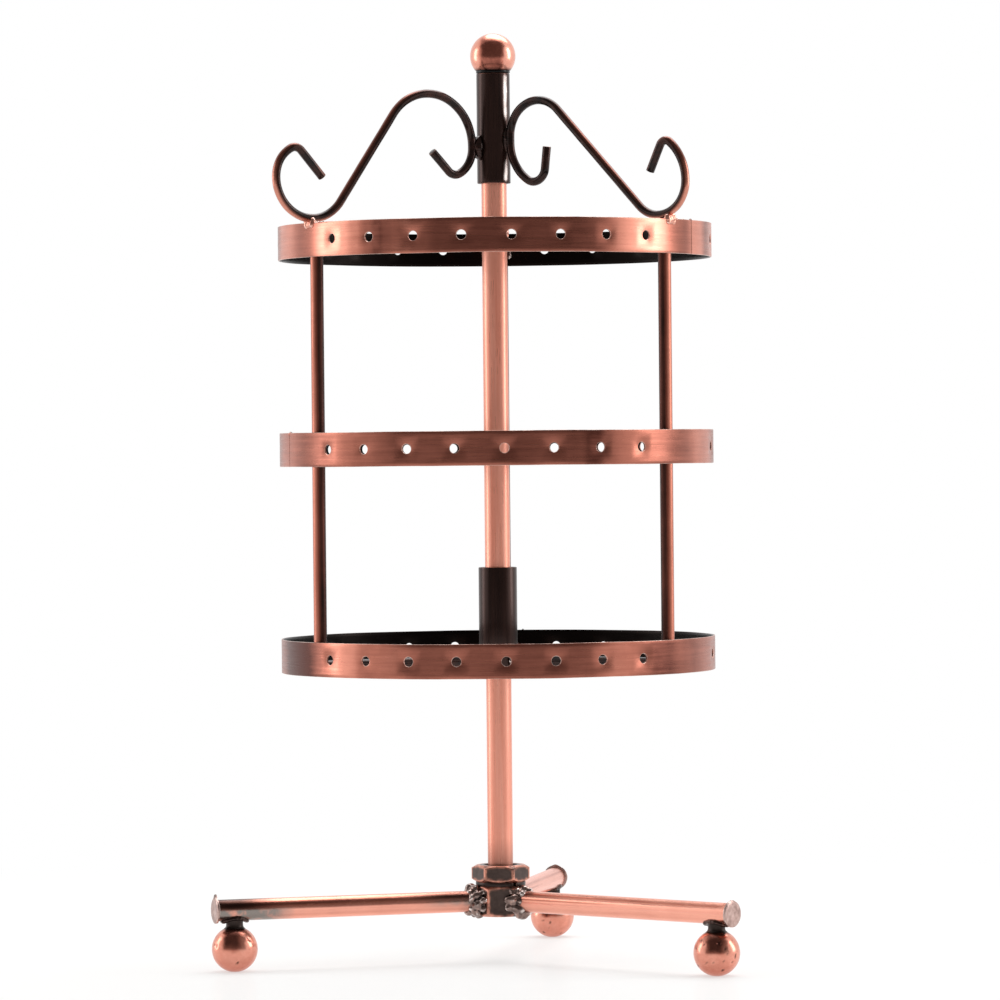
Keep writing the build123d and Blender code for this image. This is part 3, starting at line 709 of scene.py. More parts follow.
@dataclass
class TripodBase:
    """The hub, its nuts and welds, and three feet."""
    nut_edge: float = 0.45        # rounding of the nuts' corners
    nut_thread: float = 7.0       # beyond this radius a nut's edges are outer ones
    root_beads: tuple[DropRing, ...] = (DropRing(9, reach=8.5, wide=6.0, high=4.4, size=1.6),
                                        DropRing(8, reach=10.0, wide=4.3, high=4.1, size=2.1),
                                        DropRing(7, reach=12.0, wide=3.5, high=3.5, size=1.5))
    saddle_length: float = 4.5    # half the length of the bead round a neck
    saddle_width: float = 3.1
    saddle_drops: int = 24

    def build(self) -> None:
        """Builds the three feet, the nuts and the welds."""
        Foot("left", LEGS["left"], self.painted_reflection_low, heat=0.9, stain=0.9, spur=1.1).build()
        Foot("right", LEGS["right"], self.painted_reflection_wide).build()
        Foot("back", LEGS["back"], self.painted_reflection_wide).build()
        self.build_nuts()
        self.build_root_beads()
        self.build_saddles()

    @staticmethod
    def painted_reflection_low(vert: Any) -> float:
        """Painted reflection bands: bright along its crown and below its middle, with a brown band between
        them that fades outwards.
        """
        brown = band(vert.normal.z, 0.5, 0.26) * (0.55 + 0.45 * smooth(vert.co.xy.length, 20, 95))
        return 1.0 - 1.3 * brown

    @staticmethod
    def painted_reflection_wide(vert: Any) -> float:
        """Painted reflection bands: bright all over except for a brown band above the middle and a dark line
        by the hub.
        """
        brown = band(vert.normal.z, 0.68, 0.12)
        line = band(vert.normal.z, 0.3, 0.07) * (1 - smooth(vert.co.xy.length, 25, 75))
        return 1.0 - 0.75 * brown - 1.1 * line

    def build_nuts(self) -> None:
        """Builds both nuts with bared corners, and the spring washer between them."""
        for node, name in (("hub_nut", "hub_hexagon"), ("lock_nut", "lock_hexagon")):
            form = from_solid(node).round_edges(self.nut_edge, sharp=24, wear_and_glint=0.0, keep=self.outer_edge)
            self.bare_edges(form)
            form.finish(name, BASE, NUT_BLACK, [node], crease=50)
        form = from_solid("lock_washer").round_edges(offset=0.15, sharp=40, wear_and_glint=0.7)
        form.paint("soot_and_shade", lambda vert: 0.5)
        form.finish("spring_washer", BASE, NUT_BLACK, ["lock_washer"], crease=50)

    def bare_edges(self, form: Form, finest: float = 0.7) -> None:
        """Divides a nut's faces finely and bares a ragged band along its corners and rims.

        Args:
            form: the nut.
            finest: the longest edge that is left.
        """
        bmesh.ops.triangulate(form.bm, faces=form.bm.faces)
        for _ in range(5):
            long = [edge for edge in form.bm.edges if edge.calc_length() > finest]
            bmesh.ops.subdivide_edges(form.bm, edges=long, cuts=1)
            bmesh.ops.triangulate(form.bm, faces=[face for face in form.bm.faces if len(face.verts) > 3])
        heights = [vert.co.z for vert in form.bm.verts]
        low, high = min(heights), max(heights)
        half = HUB_FLAT * math.tan(math.radians(30))
        form.bm.normal_update()
        for vert in form.bm.verts:
            reach = vert.co.xy.length
            if reach < self.nut_thread + 0.3:
                continue
            corner = math.sqrt(max(0.0, reach ** 2 - HUB_FLAT ** 2))
            rim = min(vert.co.z - low, high - vert.co.z) - 0.8 * (corner / half) ** 2
            ragged = 0.5 * noise.noise(vert.co / 1.7)
            away = min(half - corner, rim) + ragged if abs(vert.normal.z) < 0.3 else ragged
            vert[form.layers["wear_and_glint"]] = 1.1 * (1 - smooth(away, 0.25, 1.1))

    def outer_edge(self, edge: Any) -> bool:
        """Picks a nut's outer edges, not the rim of its thread."""
        return min(vert.co.xy.length for vert in edge.verts) > self.nut_thread

    def build_root_beads(self) -> None:
        """Builds the lumpy beads where the legs meet the hub."""
        drops: list[tuple[Vector, float]] = []
        for angle in LEGS.values():
            across = polar(1, angle + 90, 0)
            for ring in self.root_beads:
                for i in range(ring.count):
                    turn = 2 * math.pi * i / ring.count + ring.reach
                    lump = noise.noise(Vector((angle + ring.reach * 5, turn * 2, 1)))
                    centre = polar(ring.reach + 0.7 * lump, angle, LEG_Z + ring.high * math.sin(turn))
                    drops.append((centre + across * ring.wide * math.cos(turn), ring.size + 0.9 * lump))
        Weld("hub_beads", BASE, "hub_welds", drops, grit=0.55, pitch=2.3, voxel=0.3, melted=4).build()

    def build_saddles(self) -> None:
        """Builds the beads that saddle the necks to the legs."""
        drops: list[tuple[Vector, float]] = []
        for angle in LEGS.values():
            for i in range(self.saddle_drops):
                turn = 2 * math.pi * i / self.saddle_drops
                along, aside = self.saddle_length * math.cos(turn), self.saddle_width * math.sin(turn)
                rise = LEG_R - math.sqrt(LEG_R ** 2 - aside ** 2)
                centre = polar(FOOT_CIRCLE + along, angle, LEG_Z - LEG_R + rise * 0.75 - 0.1)
                drops.append((centre + polar(aside, angle + 90, 0), 0.85))
        Weld("neck_saddles", BASE, "foot_welds", drops, grit=0.2, voxel=0.26, melted=5, glint=0.1,
             finish=SMOKED_WIRE).build()


@dataclass
class Pole:
    """The fixed upright with its finial."""
    foot: float = 19.94
    darkened: float = 34.5           # darkened as far as this, just above the nuts: a painted shadow where the tube meets them
    top: float = 313.95
    seat: float = 317.95
    ball_r: float = 8.1
    seat_r: float = 6.3
    washer_r: float = 6.05
    washer_height: float = 1.0
    thread_r: float = 2.54        # of the threaded bore in the ball
    thread_depth: float = 7.6

    def build(self) -> None:
        """Builds the tube, the washer and the ball."""
        tube = tube_profile(POLE_R, POLE_R - TUBE_WALL, self.foot, self.top, steps=24)
        form = Form().lathe(tube, closed=True)
        # Painted shadow: the tube darkens up to just above the nuts
        form.paint("soot_and_shade", lambda vert: 0.6 * (1 - smooth(vert.co.z, self.darkened, self.darkened + 3)))
        form.finish("upright_tube", BASE, POLE_COPPER, ["pole_tube"])
        washer = tube_profile(self.washer_r, self.thread_r, self.seat - self.washer_height, self.seat)
        form = Form().lathe(washer, segments=64, closed=True).round_edges(offset=0.15, wear_and_glint=0.0)
        form.paint("soot_and_shade", lambda vert: 1.0)
        form.finish("ball_washer", BASE, SMOKED_SLEEVE, ["finial_washer"])
        centre = self.seat + math.sqrt(self.ball_r ** 2 - self.seat_r ** 2)
        arc = ball_arc(self.ball_r, centre, start=math.asin(self.seat_r / self.ball_r), end=math.pi, steps=44)
        bore = [(self.thread_r, self.seat + self.thread_depth), (self.thread_r, self.seat)]
        form = Form().lathe(bore + arc)
        bmesh.ops.holes_fill(form.bm, edges=form.bm.edges, sides=0)
        form.bm.normal_update()
        form.paint("soot_and_shade", lambda vert: 0.75 * (1 - smooth(vert.co.z, self.seat, self.seat + 1.1)))
        # Painted light: a dark reflection up the middle, bright elsewhere
        form.paint("rub_and_painted_light", self.dark_reflection_and_patina, over=True)
        form.finish("top_ball", BASE, BALL_COPPER, ["finial_ball"])

    @staticmethod
    def dark_reflection_and_patina(vert: Any) -> float:
        """Gives how bright the top ball is: dark on a tongue that reaches up from its seat, seen from the
        camera's side, a painted dark reflection between painted bright rims.
        """
        across = abs(vert.normal.dot(polar(1, CAMERA_SIDE + 86, 0)))
        ragged = 0.08 * noise.noise(vert.co / 3)
        tongue = (1 - smooth(across + ragged, 0.38, 0.6)) * (1 - smooth(vert.normal.z + ragged, 0.6, 0.84))
        return 1.3 - 1.6 * tongue


@dataclass(frozen=True)
class BuffAndReflection:
    """A stretch of a hoop made brighter, and darker where its strength is below 0: partly copper that the
    wheel rubbed back, partly a painted reflection of the lamps and of the dark side.
    """
    middle: float         # seen from the camera's side, + to the right
    half: float
    strength: float       # below 0 where it is darker: thick patina, and a painted reflection of the dark side

    def at(self, bearing: float) -> float:
        """Gives how bright the hoop is at a bearing from the camera's side."""
        away = abs((bearing - self.middle + 180) % 360 - 180)
        return self.strength * (1 - smooth(away, 0.35 * self.half, 1.3 * self.half))


@dataclass(frozen=True)
class HoleRow:
    """A row of hook holes between two rods, in degrees from the left rod."""
    first: float
    pitch: float
    count: int

    def starts(self) -> list[float]:
        """Gives where each hole's place on the strip starts, and where the last one ends."""
        return [self.first + self.pitch * (place - 0.5) for place in range(self.count + 1)]


@dataclass
class Hoop:
    """One ring of flat strip with its hook holes, butt-welded at a seam."""
    name: str
    seam: float
    buffs_and_reflections: Sequence[BuffAndReflection]
    seed: float
    shift: float = 0.0        # how much further round its rows start
    rows: tuple[HoleRow, ...] = (HoleRow(first=7.4, pitch=12.857, count=8),
                                 HoleRow(first=136.0, pitch=14.1, count=7),
                                 HoleRow(first=248.9, pitch=13.33, count=7))
    hole_r: float = 1.7
    edge: float = 0.16        # rounding of the strip's edges
    seam_half: float = 0.22   # half the width of the sunk seam
    seam_depth: float = 0.3
    seam_lip: float = 0.25    # how far the strip's end stands up in it
    seam_burr: float = 0.4    # and beside it
    across: int = 14          # mesh steps along one place of the strip
    up: int = 10              # and up its height
    out_of_round: float = 0.12
    out_of_level: float = 0.1
    patch: int = 3            # mesh steps from a hole's middle to the edge of the square that it is cut in

    def build(self) -> None:
        """Lays out the flat strip, gives it a wall, rounds its edges and bends it round."""
        middle_r = RING_R - RING_WALL / 2
        length = 2 * math.pi * middle_r
        form = self.flat_strip(length)
        bmesh.ops.solidify(form.bm, geom=form.bm.faces, thickness=RING_WALL)
        depth = [vert.co.z for vert in form.bm.verts]
        bmesh.ops.translate(form.bm, vec=(0, 0, -(max(depth) + min(depth)) / 2), verts=form.bm.verts)
        bmesh.ops.recalc_face_normals(form.bm, faces=form.bm.faces)
        form.round_edges(self.edge, sharp=50, keep=lambda edge: not self.at_end(edge.verts, length))
        ends = [face for face in form.bm.faces if self.at_end(face.verts, length)]
        bmesh.ops.delete(form.bm, geom=ends, context="FACES_ONLY")
        seam_x = (self.seam - self.start()) % 360 / 360 * length
        for shift in (-self.seam_half, 0.0, self.seam_half):
            everything = form.bm.verts[:] + form.bm.edges[:] + form.bm.faces[:]
            bmesh.ops.bisect_plane(form.bm, geom=everything, dist=0.0005, plane_co=(seam_x + shift, 0, 0),
                                   plane_no=(1, 0, 0))
        self.cut_seam(form, seam_x)
        self.bend_round(form, length, middle_r)
        bmesh.ops.remove_doubles(form.bm, verts=form.bm.verts, dist=0.004)
        form.finish("hoop_" + self.name, TURNING, HOOP_COPPER, ["ring_" + self.name], crease=45)

    def start(self) -> float:
        """Gives the angle at which the flat strip begins: where the first hole's place does."""
        return SIDES["left"] + self.shift + self.rows[0].starts()[0]

    def places(self) -> list[tuple[float, float, bool]]:
        """Divides the strip into places.

        Returns:
            For each place its start and its end, in degrees from the strip's own start, and whether it has a
            hole.
        """
        zero = self.rows[0].starts()[0]
        made: list[tuple[float, float, bool]] = []
        for row, following in zip(self.rows, self.rows[1:] + self.rows[:1]):
            starts = [start - zero for start in row.starts()]
            made += [(low, high, True) for low, high in zip(starts, starts[1:])]
            gap_end = (following.starts()[0] - zero) or 360.0     # the last gap ends where the strip does
            middle = (starts[-1] + gap_end) / 2
            made += [(starts[-1], middle, False), (middle, gap_end, False)]
        return made

    @staticmethod
    def at_end(verts: Iterable[Any], length: float) -> bool:
        """Tells whether all the vertices lie on one end of the strip."""
        places = [vert.co.x for vert in verts]
        return all(x < 0.001 for x in places) or all(x > length - 0.001 for x in places)

    def flat_strip(self, length: float) -> Form:
        """Makes the strip, laid flat, one place after the other.

        Args:
            length: its length.

        Returns:
            A one-sided strip, its length along X and its height along Y.
        """
        form = Form()
        for low, high, holed in self.places():
            pitch = length * (high - low) / 360
            centre = Vector((length * (low + high) / 720, 0, 0))
            fit = Matrix.Translation(centre) @ Matrix.Diagonal((pitch, RING_HEIGHT, 1, 1))
            made = bmesh.ops.create_grid(form.bm, x_segments=self.across, y_segments=self.up, size=0.5,
                                         matrix=fit)
            if not holed:
                continue
            faces = {face for vert in made["verts"] for face in vert.link_faces}
            reach_x, reach_y = self.patch * pitch / self.across, self.patch * RING_HEIGHT / self.up
            inner = [face for face in faces
                     if abs(face.calc_center_median().x - centre.x) < reach_x
                     and abs(face.calc_center_median().y) < reach_y]
            bmesh.ops.delete(form.bm, geom=inner, context="FACES")
            rim = [vert for vert in form.bm.verts if vert.is_boundary
                   and abs(vert.co.x - centre.x) < reach_x + 0.01 and abs(vert.co.y) < reach_y + 0.01]
            for vert in rim:
                across, up = (vert.co.x - centre.x) / reach_x, vert.co.y / reach_y
                if abs(across) > abs(up):
                    turn = math.atan2(across, 0) - math.pi / 4 * up / across
                else:
                    turn = math.pi / 4 * across / up + (0 if up > 0 else math.pi)
                vert.co = centre + self.hole_r * Vector((math.sin(turn), math.cos(turn), 0))
        bmesh.ops.remove_doubles(form.bm, verts=form.bm.verts, dist=0.001)
        bmesh.ops.recalc_face_normals(form.bm, faces=form.bm.faces)
        return form

    def cut_seam(self, form: Form, seam_x: float) -> None:
        """Sinks the butt joint's line, blackens it and raises the burr on its upper end.

        Args:
            form: the strip.
            seam_x: where along it the joint is.
        """
        upper_edge = RING_HEIGHT / 2 - 0.3
        for vert in form.bm.verts:
            beside = vert.co.x - seam_x
            if abs(beside) < 0.001:
                if vert.co.z > 0:
                    vert.co.z -= self.seam_depth
                    vert[form.layers["soot_and_shade"]] = 1.0
                if vert.co.y > upper_edge:
                    vert.co.y += self.seam_lip
            elif 0 < beside < 0.3 and vert.co.y > upper_edge:
                vert.co.y += self.seam_burr

    def bend_round(self, form: Form, length: float, middle_r: float) -> None:
        """Bends the strip into its hoop and paints its buffed stretches and painted reflection bands.

        Args:
            form: the strip.
            length: its length.
            middle_r: the radius of its middle.
        """
        middle_z = RING_FEET[self.name] + RING_HEIGHT / 2
        for vert in form.bm.verts:
            angle = self.start() + 360 * vert.co.x / length
            bearing = angle - CAMERA_SIDE
            outside = vert.co.z > 0.05
            # Buffed stretches and painted reflection bands, on the outside only
            vert[form.layers["rub_and_painted_light"]] = sum(patch.at(bearing) for patch in self.buffs_and_reflections) if outside else 0.0
            if vert.co.z < -0.15:
                vert[form.layers["soot_and_shade"]] = 1.0
            turn = math.radians(angle)
            wobble = noise.noise(Vector((math.cos(turn) * 2, math.sin(turn) * 2, self.seed)))
            dip = noise.noise(Vector((math.cos(turn) * 3, math.sin(turn) * 3, self.seed + 9)))
            radius = middle_r + vert.co.z - self.out_of_round + self.out_of_round * wobble
            vert.co = polar(radius, angle, middle_z + vert.co.y + self.out_of_level * dip)


class BentWire:
    """A round wire bent stretch by stretch in the upright plane through the pole."""

    def __init__(self, start: tuple[float, float], heading: float, radius: float, sides: int = 28) -> None:
        """Starts with a ring of edges across the wire.

        Args:
            start: the distance from the pole's axis and the height.
            heading: the direction in that plane, from outwards towards up.
            radius: the wire's radius.
            sides: faces round it.
        """
        self.form = Form()
        self.place = Vector((start[0], 0, start[1]))
        self.heading = math.radians(heading)
        aim = Matrix.Rotation(math.pi / 2 - self.heading, 4, "Y")
        ring = bmesh.ops.create_circle(self.form.bm, segments=sides, radius=radius, cap_ends=False,
                                       matrix=Matrix.Translation(self.place) @ aim)
        self.edges = list({edge for vert in ring["verts"] for edge in vert.link_edges})

    def forward(self) -> Vector:
        """Gives the wire's direction."""
        return Vector((math.cos(self.heading), 0, math.sin(self.heading)))

    def run(self, length: float, step: float = 4.0) -> None:
        """Adds a straight stretch.

        Args:
            length: its length.
            step: the longest face along it.
        """
        count = max(1, round(length / step))
        for _ in range(count):
            made = bmesh.ops.extrude_edge_only(self.form.bm, edges=self.edges)["geom"]
            verts = [part for part in made if isinstance(part, bmesh.types.BMVert)]
            self.edges = [part for part in made if isinstance(part, bmesh.types.BMEdge)
                          and all(vert in verts for vert in part.verts)]
            bmesh.ops.translate(self.form.bm, vec=self.forward() * (length / count), verts=verts)
        self.place += self.forward() * length

    def bend(self, radius: float, turn: float) -> None:
        """Adds an arc.

        Args:
            radius: the radius of its middle line.
            turn: how far it turns, positive to the left.
        """
        if turn == 0:
            return
        left = Vector((-math.sin(self.heading), 0, math.cos(self.heading)))
        side = 1 if turn > 0 else -1
        centre = self.place + left * radius * side
        angle = math.radians(abs(turn))
        verts = list({vert for edge in self.edges for vert in edge.verts})
        made = bmesh.ops.spin(self.form.bm, geom=verts + self.edges, cent=centre, axis=(0, -side, 0),
                              dvec=(0, 0, 0), angle=angle, steps=max(4, round(abs(turn) / 5)),
                              use_merge=False)
        self.edges = [part for part in made["geom_last"] if isinstance(part, bmesh.types.BMEdge)]
        self.place = centre + Matrix.Rotation(-side * angle, 3, "Y") @ (self.place - centre)
        self.heading += math.radians(turn)

    def cut_ends(self) -> None:
        """Closes both ends flat, as the cutters left them, and breaks their edges."""
        bmesh.ops.holes_fill(self.form.bm, edges=self.form.bm.edges, sides=0)
        bmesh.ops.recalc_face_normals(self.form.bm, faces=self.form.bm.faces)
        self.form.round_edges(offset=0.22, sharp=50, wear_and_glint=0.5)


@dataclass(frozen=True)
class Bends:
    """How one scroll was bent by hand: radii and lengths in mm, turns in degrees."""
    contact_top: float        # where it leaves the sleeve, above the upper ring
    arch_r: float             # over the top
    slope: float              # of the straight stretch, from the level
    loop_r: float             # from there round under the outer loop
    shoulder_r: float
    shoulder_turn: float
    crest_r: float
    crest_turn: float
    outer_tip: float
    hook_r: float             # the inner hook
    hook_turn: float
    inner_tip: float
    contact: float = 4.8      # straight stretch beside the sleeve
    standoff: float = 0.0     # room between that and the sleeve, filled by the weld
    lean_r: float = 10.0      # bend from that stretch to the inner hook
    lean_turn: float = 0.0


TOUCHING_U = 7.47             # from the pole's axis to a wire that lies against the sleeve
SCROLLS = {
    "left": Bends(contact_top=28.2, arch_r=18.2, slope=54.5, loop_r=14.4, shoulder_r=11.2, shoulder_turn=63,
                  crest_r=3.5, crest_turn=74, outer_tip=12.6, hook_r=4.0, hook_turn=72.9, inner_tip=9.7,
                  contact=1.0, standoff=1.7, lean_turn=62.1),
    "right": Bends(contact_top=31.7, arch_r=12.2, slope=44.9, loop_r=11.6, shoulder_r=17.4, shoulder_turn=52,
                   crest_r=2.6, crest_turn=102, outer_tip=10.2, hook_r=5.0, hook_turn=114.7, inner_tip=7.9,
                   contact=2.1, lean_r=16.2, lean_turn=58.3),
    "back": Bends(contact_top=28.6, arch_r=16.8, slope=52, loop_r=13.0, shoulder_r=13.4, shoulder_turn=60,
                  crest_r=3.4, crest_turn=84, outer_tip=11.2, hook_r=6.6, hook_turn=158, inner_tip=6.4),
}


@dataclass
class Scroll:
    """One bent scroll between the upper sleeve and the upper ring."""
    name: str
    bends: Bends
    foot_z: float = RING_TOP + 0.02 + WIRE_R
    loop_middle: tuple[float, float] = (76.0, 277.0)      # distance from the pole's axis, and height

    def build(self) -> None:
        """Bends the wire from its inner tip to its outer tip."""
        shape = self.bends
        top = RING_TOP + shape.contact_top
        start, heading = self.hook_tip()
        wire = BentWire(start, heading, WIRE_R)
        wire.run(shape.inner_tip)
        wire.bend(shape.hook_r, -shape.hook_turn)
        wire.bend(shape.lean_r, -shape.lean_turn)
        wire.run(shape.contact)
        wire.bend(shape.arch_r, -(90 + shape.slope))
        slope = math.radians(shape.slope)
        start_z = top + shape.arch_r * math.cos(slope)
        end_z = self.foot_z + shape.loop_r * (1 - math.cos(slope))
        wire.run((start_z - end_z) / math.sin(slope))
        wire.bend(shape.loop_r, shape.slope + 90)
        wire.bend(shape.shoulder_r, shape.shoulder_turn)
        wire.bend(shape.crest_r, shape.crest_turn)
        wire.run(shape.outer_tip, 3.0)
        wire.cut_ends()
        form = wire.form
        form.bm.normal_update()
        form.paint("rub_and_painted_light", self.rubbed)
        form.ripple(0.05, 4.0, SIDES[self.name])
        form.turned(Matrix.Rotation(math.radians(SIDES[self.name]), 4, "Z"))
        form.finish("wire_scroll_" + self.name, TURNING, SMOKED_WIRE, ["scroll_" + self.name], crease=50)

    def hook_tip(self) -> tuple[tuple[float, float], float]:
        """Finds the inner hook's tip, from where the wire touches the sleeve downwards.

        Returns:
            The tip's distance from the pole's axis and its height, and the wire's direction there.
        """
        shape = self.bends
        lean = math.radians(shape.lean_turn - 90)
        heading = math.radians(shape.lean_turn + shape.hook_turn - 90)
        low = RING_TOP + shape.contact_top - shape.contact
        centre = Vector((TOUCHING_U + shape.standoff + shape.lean_r, low))
        centre += (shape.lean_r - shape.hook_r) * Vector((math.sin(lean), -math.cos(lean)))
        end = centre + shape.hook_r * Vector((math.sin(heading), -math.cos(heading)))
        tip = end + shape.inner_tip * Vector((math.cos(heading), math.sin(heading)))
        return (tip.x, tip.y), math.degrees(heading) + 180

    def rubbed(self, vert: Any) -> float:
        """Gives how far a vertex is rubbed: along the outside of the outer loop, fading up the straight."""
        away = Vector((vert.co.x - self.loop_middle[0], 0, vert.co.z - self.loop_middle[1])).normalized()
        outside = smooth(vert.normal.dot(away), 0.1, 0.8)
        low = 1 - smooth(vert.co.z, 272, 290)
        loop = outside * smooth(vert.co.x, 58, 72) * (0.45 + 0.55 * low)
        above = smooth(vert.normal.dot(Vector((0.82, 0, 0.57))), 0.2, 0.9)
        straight = above * smooth(vert.co.x, 26, 36) * (1 - smooth(vert.co.x, 62, 70))
        return max(loop, 0.6 * straight * (0.75 + 0.7 * noise.noise(vert.co / 9)))


# Each hoop's name, seam, shift and seed, and its buffed stretches and painted reflection bands: middle, half
# width and strength
HOOPS = (
    ("upper", 344.4, 2.3, 1.0,
     ((-72, 9, 0.6), (-48, 7, 0.75), (-40, 4, 0.45), (-25, 3, 0.35), (-20, 4, 0.3), (-31.5, 2, -0.25),
      (42, 12, 0.75), (67, 6, 0.65), (84, 8, 0.5), (120, 16, 0.7), (165, 20, 0.5), (-130, 22, 0.75))),
    ("middle", 210.7, 0.0, 2.0,
     ((-72, 9, 0.3), (-57, 6, -0.05), (-43, 7, 0.12), (-12, 13, 0.15), (14, 5, 0.12), (26, 3, -0.3),
      (38, 9, 0.2), (53, 7, -0.05), (70, 10, 0.45), (110, 14, 0.6), (150, 18, 0.75), (-120, 20, 0.6))),
    ("lower", 94.2, 0.0, 3.0,
     ((-66, 11, -0.5), (-44, 7, 0.55), (-30, 7, 0.3), (-10, 10, 0.1), (32, 7, 0.35), (48, 6, -0.3),
      (74, 9, 0.2), (125, 18, 0.6), (175, 16, 0.7), (-135, 18, 0.7))),
)


@dataclass
class TurningFrame:
    """The sleeves, hoops, rods, spokes, scrolls and welds that turn on the pole."""
    sleeve_r: float = 5.95
    sleeve_bore: float = 4.58
    sleeve_foot: float = 277.6
    sleeve_top: float = 316.8
    lower_r: float = 6.85
    lower_bore: float = 5.65
    lower_foot: float = 103.8
    lower_top: float = 140.7
    edge: float = 0.25            # rounding of the sleeves' rims
    spoke_r: float = 2.0
    rod_starts: float = 0.6       # above the lower ring's lower edge
    rod_ends: float = 1.2         # below the upper ring's upper edge
    bead_circle: float = 75.9     # radius on which the beads beside the rods lie
    bead_turn_r: float = 76.0     # radius by which their distance from the rod is turned into degrees
    bead_aside: float = 2.7       # from a rod's middle to each of its beads
    bead_foot: float = 3.6        # where they start, above the hoop's lower edge
    bead_pitch: float = 1.2       # from drop to drop
    bead_drops: int = 5
    lump_circle: float = 77.0     # radius on which the scrolls' lumps lie
    lump_sunk: float = 0.9        # how far below the hoop's upper edge they start
    lump_across: float = 1.5      # from drop to drop along the hoop
    lump_up: float = 0.75         # and upwards
    specks: tuple[float, ...] = (3.1, 4.0, 6.2)   # spatter on the hoop, in degrees beyond each scroll
    contact_pitch: float = 0.95   # from drop to drop along a scroll's contact with the sleeve
    contact_half: int = 4         # drops above its middle, and as many below
    root_ring: float = 2.3        # radius of the ring of drops round a spoke's root
    root_drops: int = 10

    def build(self) -> None:
        """Builds every piece of the frame."""
        self.build_sleeves()
        self.build_hoops()
        self.build_rods()
        for name, bends in SCROLLS.items():
            Scroll(name, bends).build()
        self.build_ring_welds()
        self.build_sleeve_welds()

    def build_sleeves(self) -> None:
        """Builds the two tubes that run on the pole."""
        upper = tube_profile(self.sleeve_r, self.sleeve_bore, self.sleeve_foot, self.sleeve_top, steps=30)
        form = Form().lathe(upper, closed=True).round_edges(self.edge, wear_and_glint=0.8)
        form.bm.normal_update()
        # Paints the upright highlight
        form.paint("rub_and_painted_light", self.streak_of_light)
        form.finish("sleeve_tube_upper", TURNING, SMOKED_SLEEVE, ["upper_sleeve"])
        lower = tube_profile(self.lower_r, self.lower_bore, self.lower_foot, self.lower_top)
        form = Form().lathe(lower, closed=True).round_edges(self.edge, wear_and_glint=0.6)
        form.finish("sleeve_tube_lower", TURNING, SMOKED_SLEEVE, ["lower_sleeve"])

    @staticmethod
    def streak_of_light(vert: Any) -> float:
        """A painted highlight: pale along one upright band, most at the sleeve's top and foot."""
        streak = smooth(vert.normal.dot(polar(1, CAMERA_SIDE + 46, 0)), 0.965, 0.995)
        ends = 1 - smooth(vert.co.z, 282, 288) * (1 - smooth(vert.co.z, 296, 304))
        return streak * (0.25 + 0.75 * ends) * (0.85 + 0.5 * noise.noise(vert.co / 3))

    def build_hoops(self) -> None:
        """Builds the three hoops, each rubbed in its own places."""
        for name, seam, shift, seed, stretches in HOOPS:
            Hoop(name, seam, [BuffAndReflection(*stretch) for stretch in stretches], seed, shift).build()

    def build_rods(self) -> None:
        """Builds the uprights with their sawn ends, and the spokes."""
        rod = tube_profile(ROD_R, 0, RING_FEET["lower"] + self.rod_starts, RING_TOP - self.rod_ends, steps=20)
        spoke = tube_profile(self.spoke_r, 0, self.lower_r, ROD_CIRCLE - 2.2)
        # The side of each rod painted bright as a highlight: towards the left and right lamps, and outwards
        # for the back rod
        bright = {"left": CAMERA_SIDE - 75, "right": CAMERA_SIDE + 75, "back": SIDES["back"]}
        for name, angle in SIDES.items():
            form = Form().lathe(rod, segments=40).round_edges(offset=0.3, wear_and_glint=0.8)
            form.bm.normal_update()
            side = polar(1, bright[name], 0)
            form.paint("rub_and_painted_light", lambda vert: smooth(vert.normal.dot(side), 0.0, 0.7))
            form.turned(Matrix.Translation(polar(ROD_CIRCLE, angle, 0)))
            form.finish("upright_rod_" + name, TURNING, ROD_WITH_PAINTED_HIGHLIGHT, ["rod_" + name])
            form = Form().lathe(spoke, segments=40)
            lay = Matrix.Rotation(math.radians(angle), 4, "Z") @ Matrix.Translation((0, 0, SPOKE_Z))
            form.turned(lay @ Matrix.Rotation(math.radians(90), 4, "Y"))
            form.finish("cross_spoke_" + name, TURNING, SMOKED_WIRE, ["spoke_" + name])

    def build_ring_welds(self) -> None:
        """Builds the beads beside each rod and the lumps under each scroll."""
        drops: list[tuple[Vector, float]] = []
        for angle in SIDES.values():
            for foot in RING_FEET.values():
                for side in (-1, 1):
                    for i in range(self.bead_drops):
                        lump = noise.noise(Vector((angle + side, foot, i * 1.7)))
                        off = math.degrees((self.bead_aside + 0.3 * lump) / self.bead_turn_r)
                        height = foot + self.bead_foot + self.bead_pitch * i
                        drops.append((polar(self.bead_circle, angle + side * off, height), 1.0 + 0.3 * lump))
        Weld("rod_beads", TURNING, "rod_welds", drops, grit=0.2, voxel=0.3, rub_and_painted_light=0.2).build()
        drops = []
        for angle in SIDES.values():
            for i in range(9):
                lump = noise.noise(Vector((angle, i * 2.3, 4)))
                off = math.degrees((i % 3 - 1) * self.lump_across / self.lump_circle)
                height = RING_TOP - self.lump_sunk + i // 3 * self.lump_up
                drops.append((polar(self.lump_circle + 0.3 * lump, angle + off, height), 1.3 + 0.5 * lump))
            for i, ahead in enumerate(self.specks):
                speck = noise.noise(Vector((i * 3.3, angle, 0)))
                drops.append((polar(77.1 + 0.3 * speck, angle + ahead, RING_TOP), 0.42 + 0.35 * speck))
        Weld("scroll_lumps", TURNING, "scroll_welds", drops, grit=0.2, voxel=0.26, rub_and_painted_light=0.7, hollow_shade=0.4,
             finish=LUMP_COPPER).build()

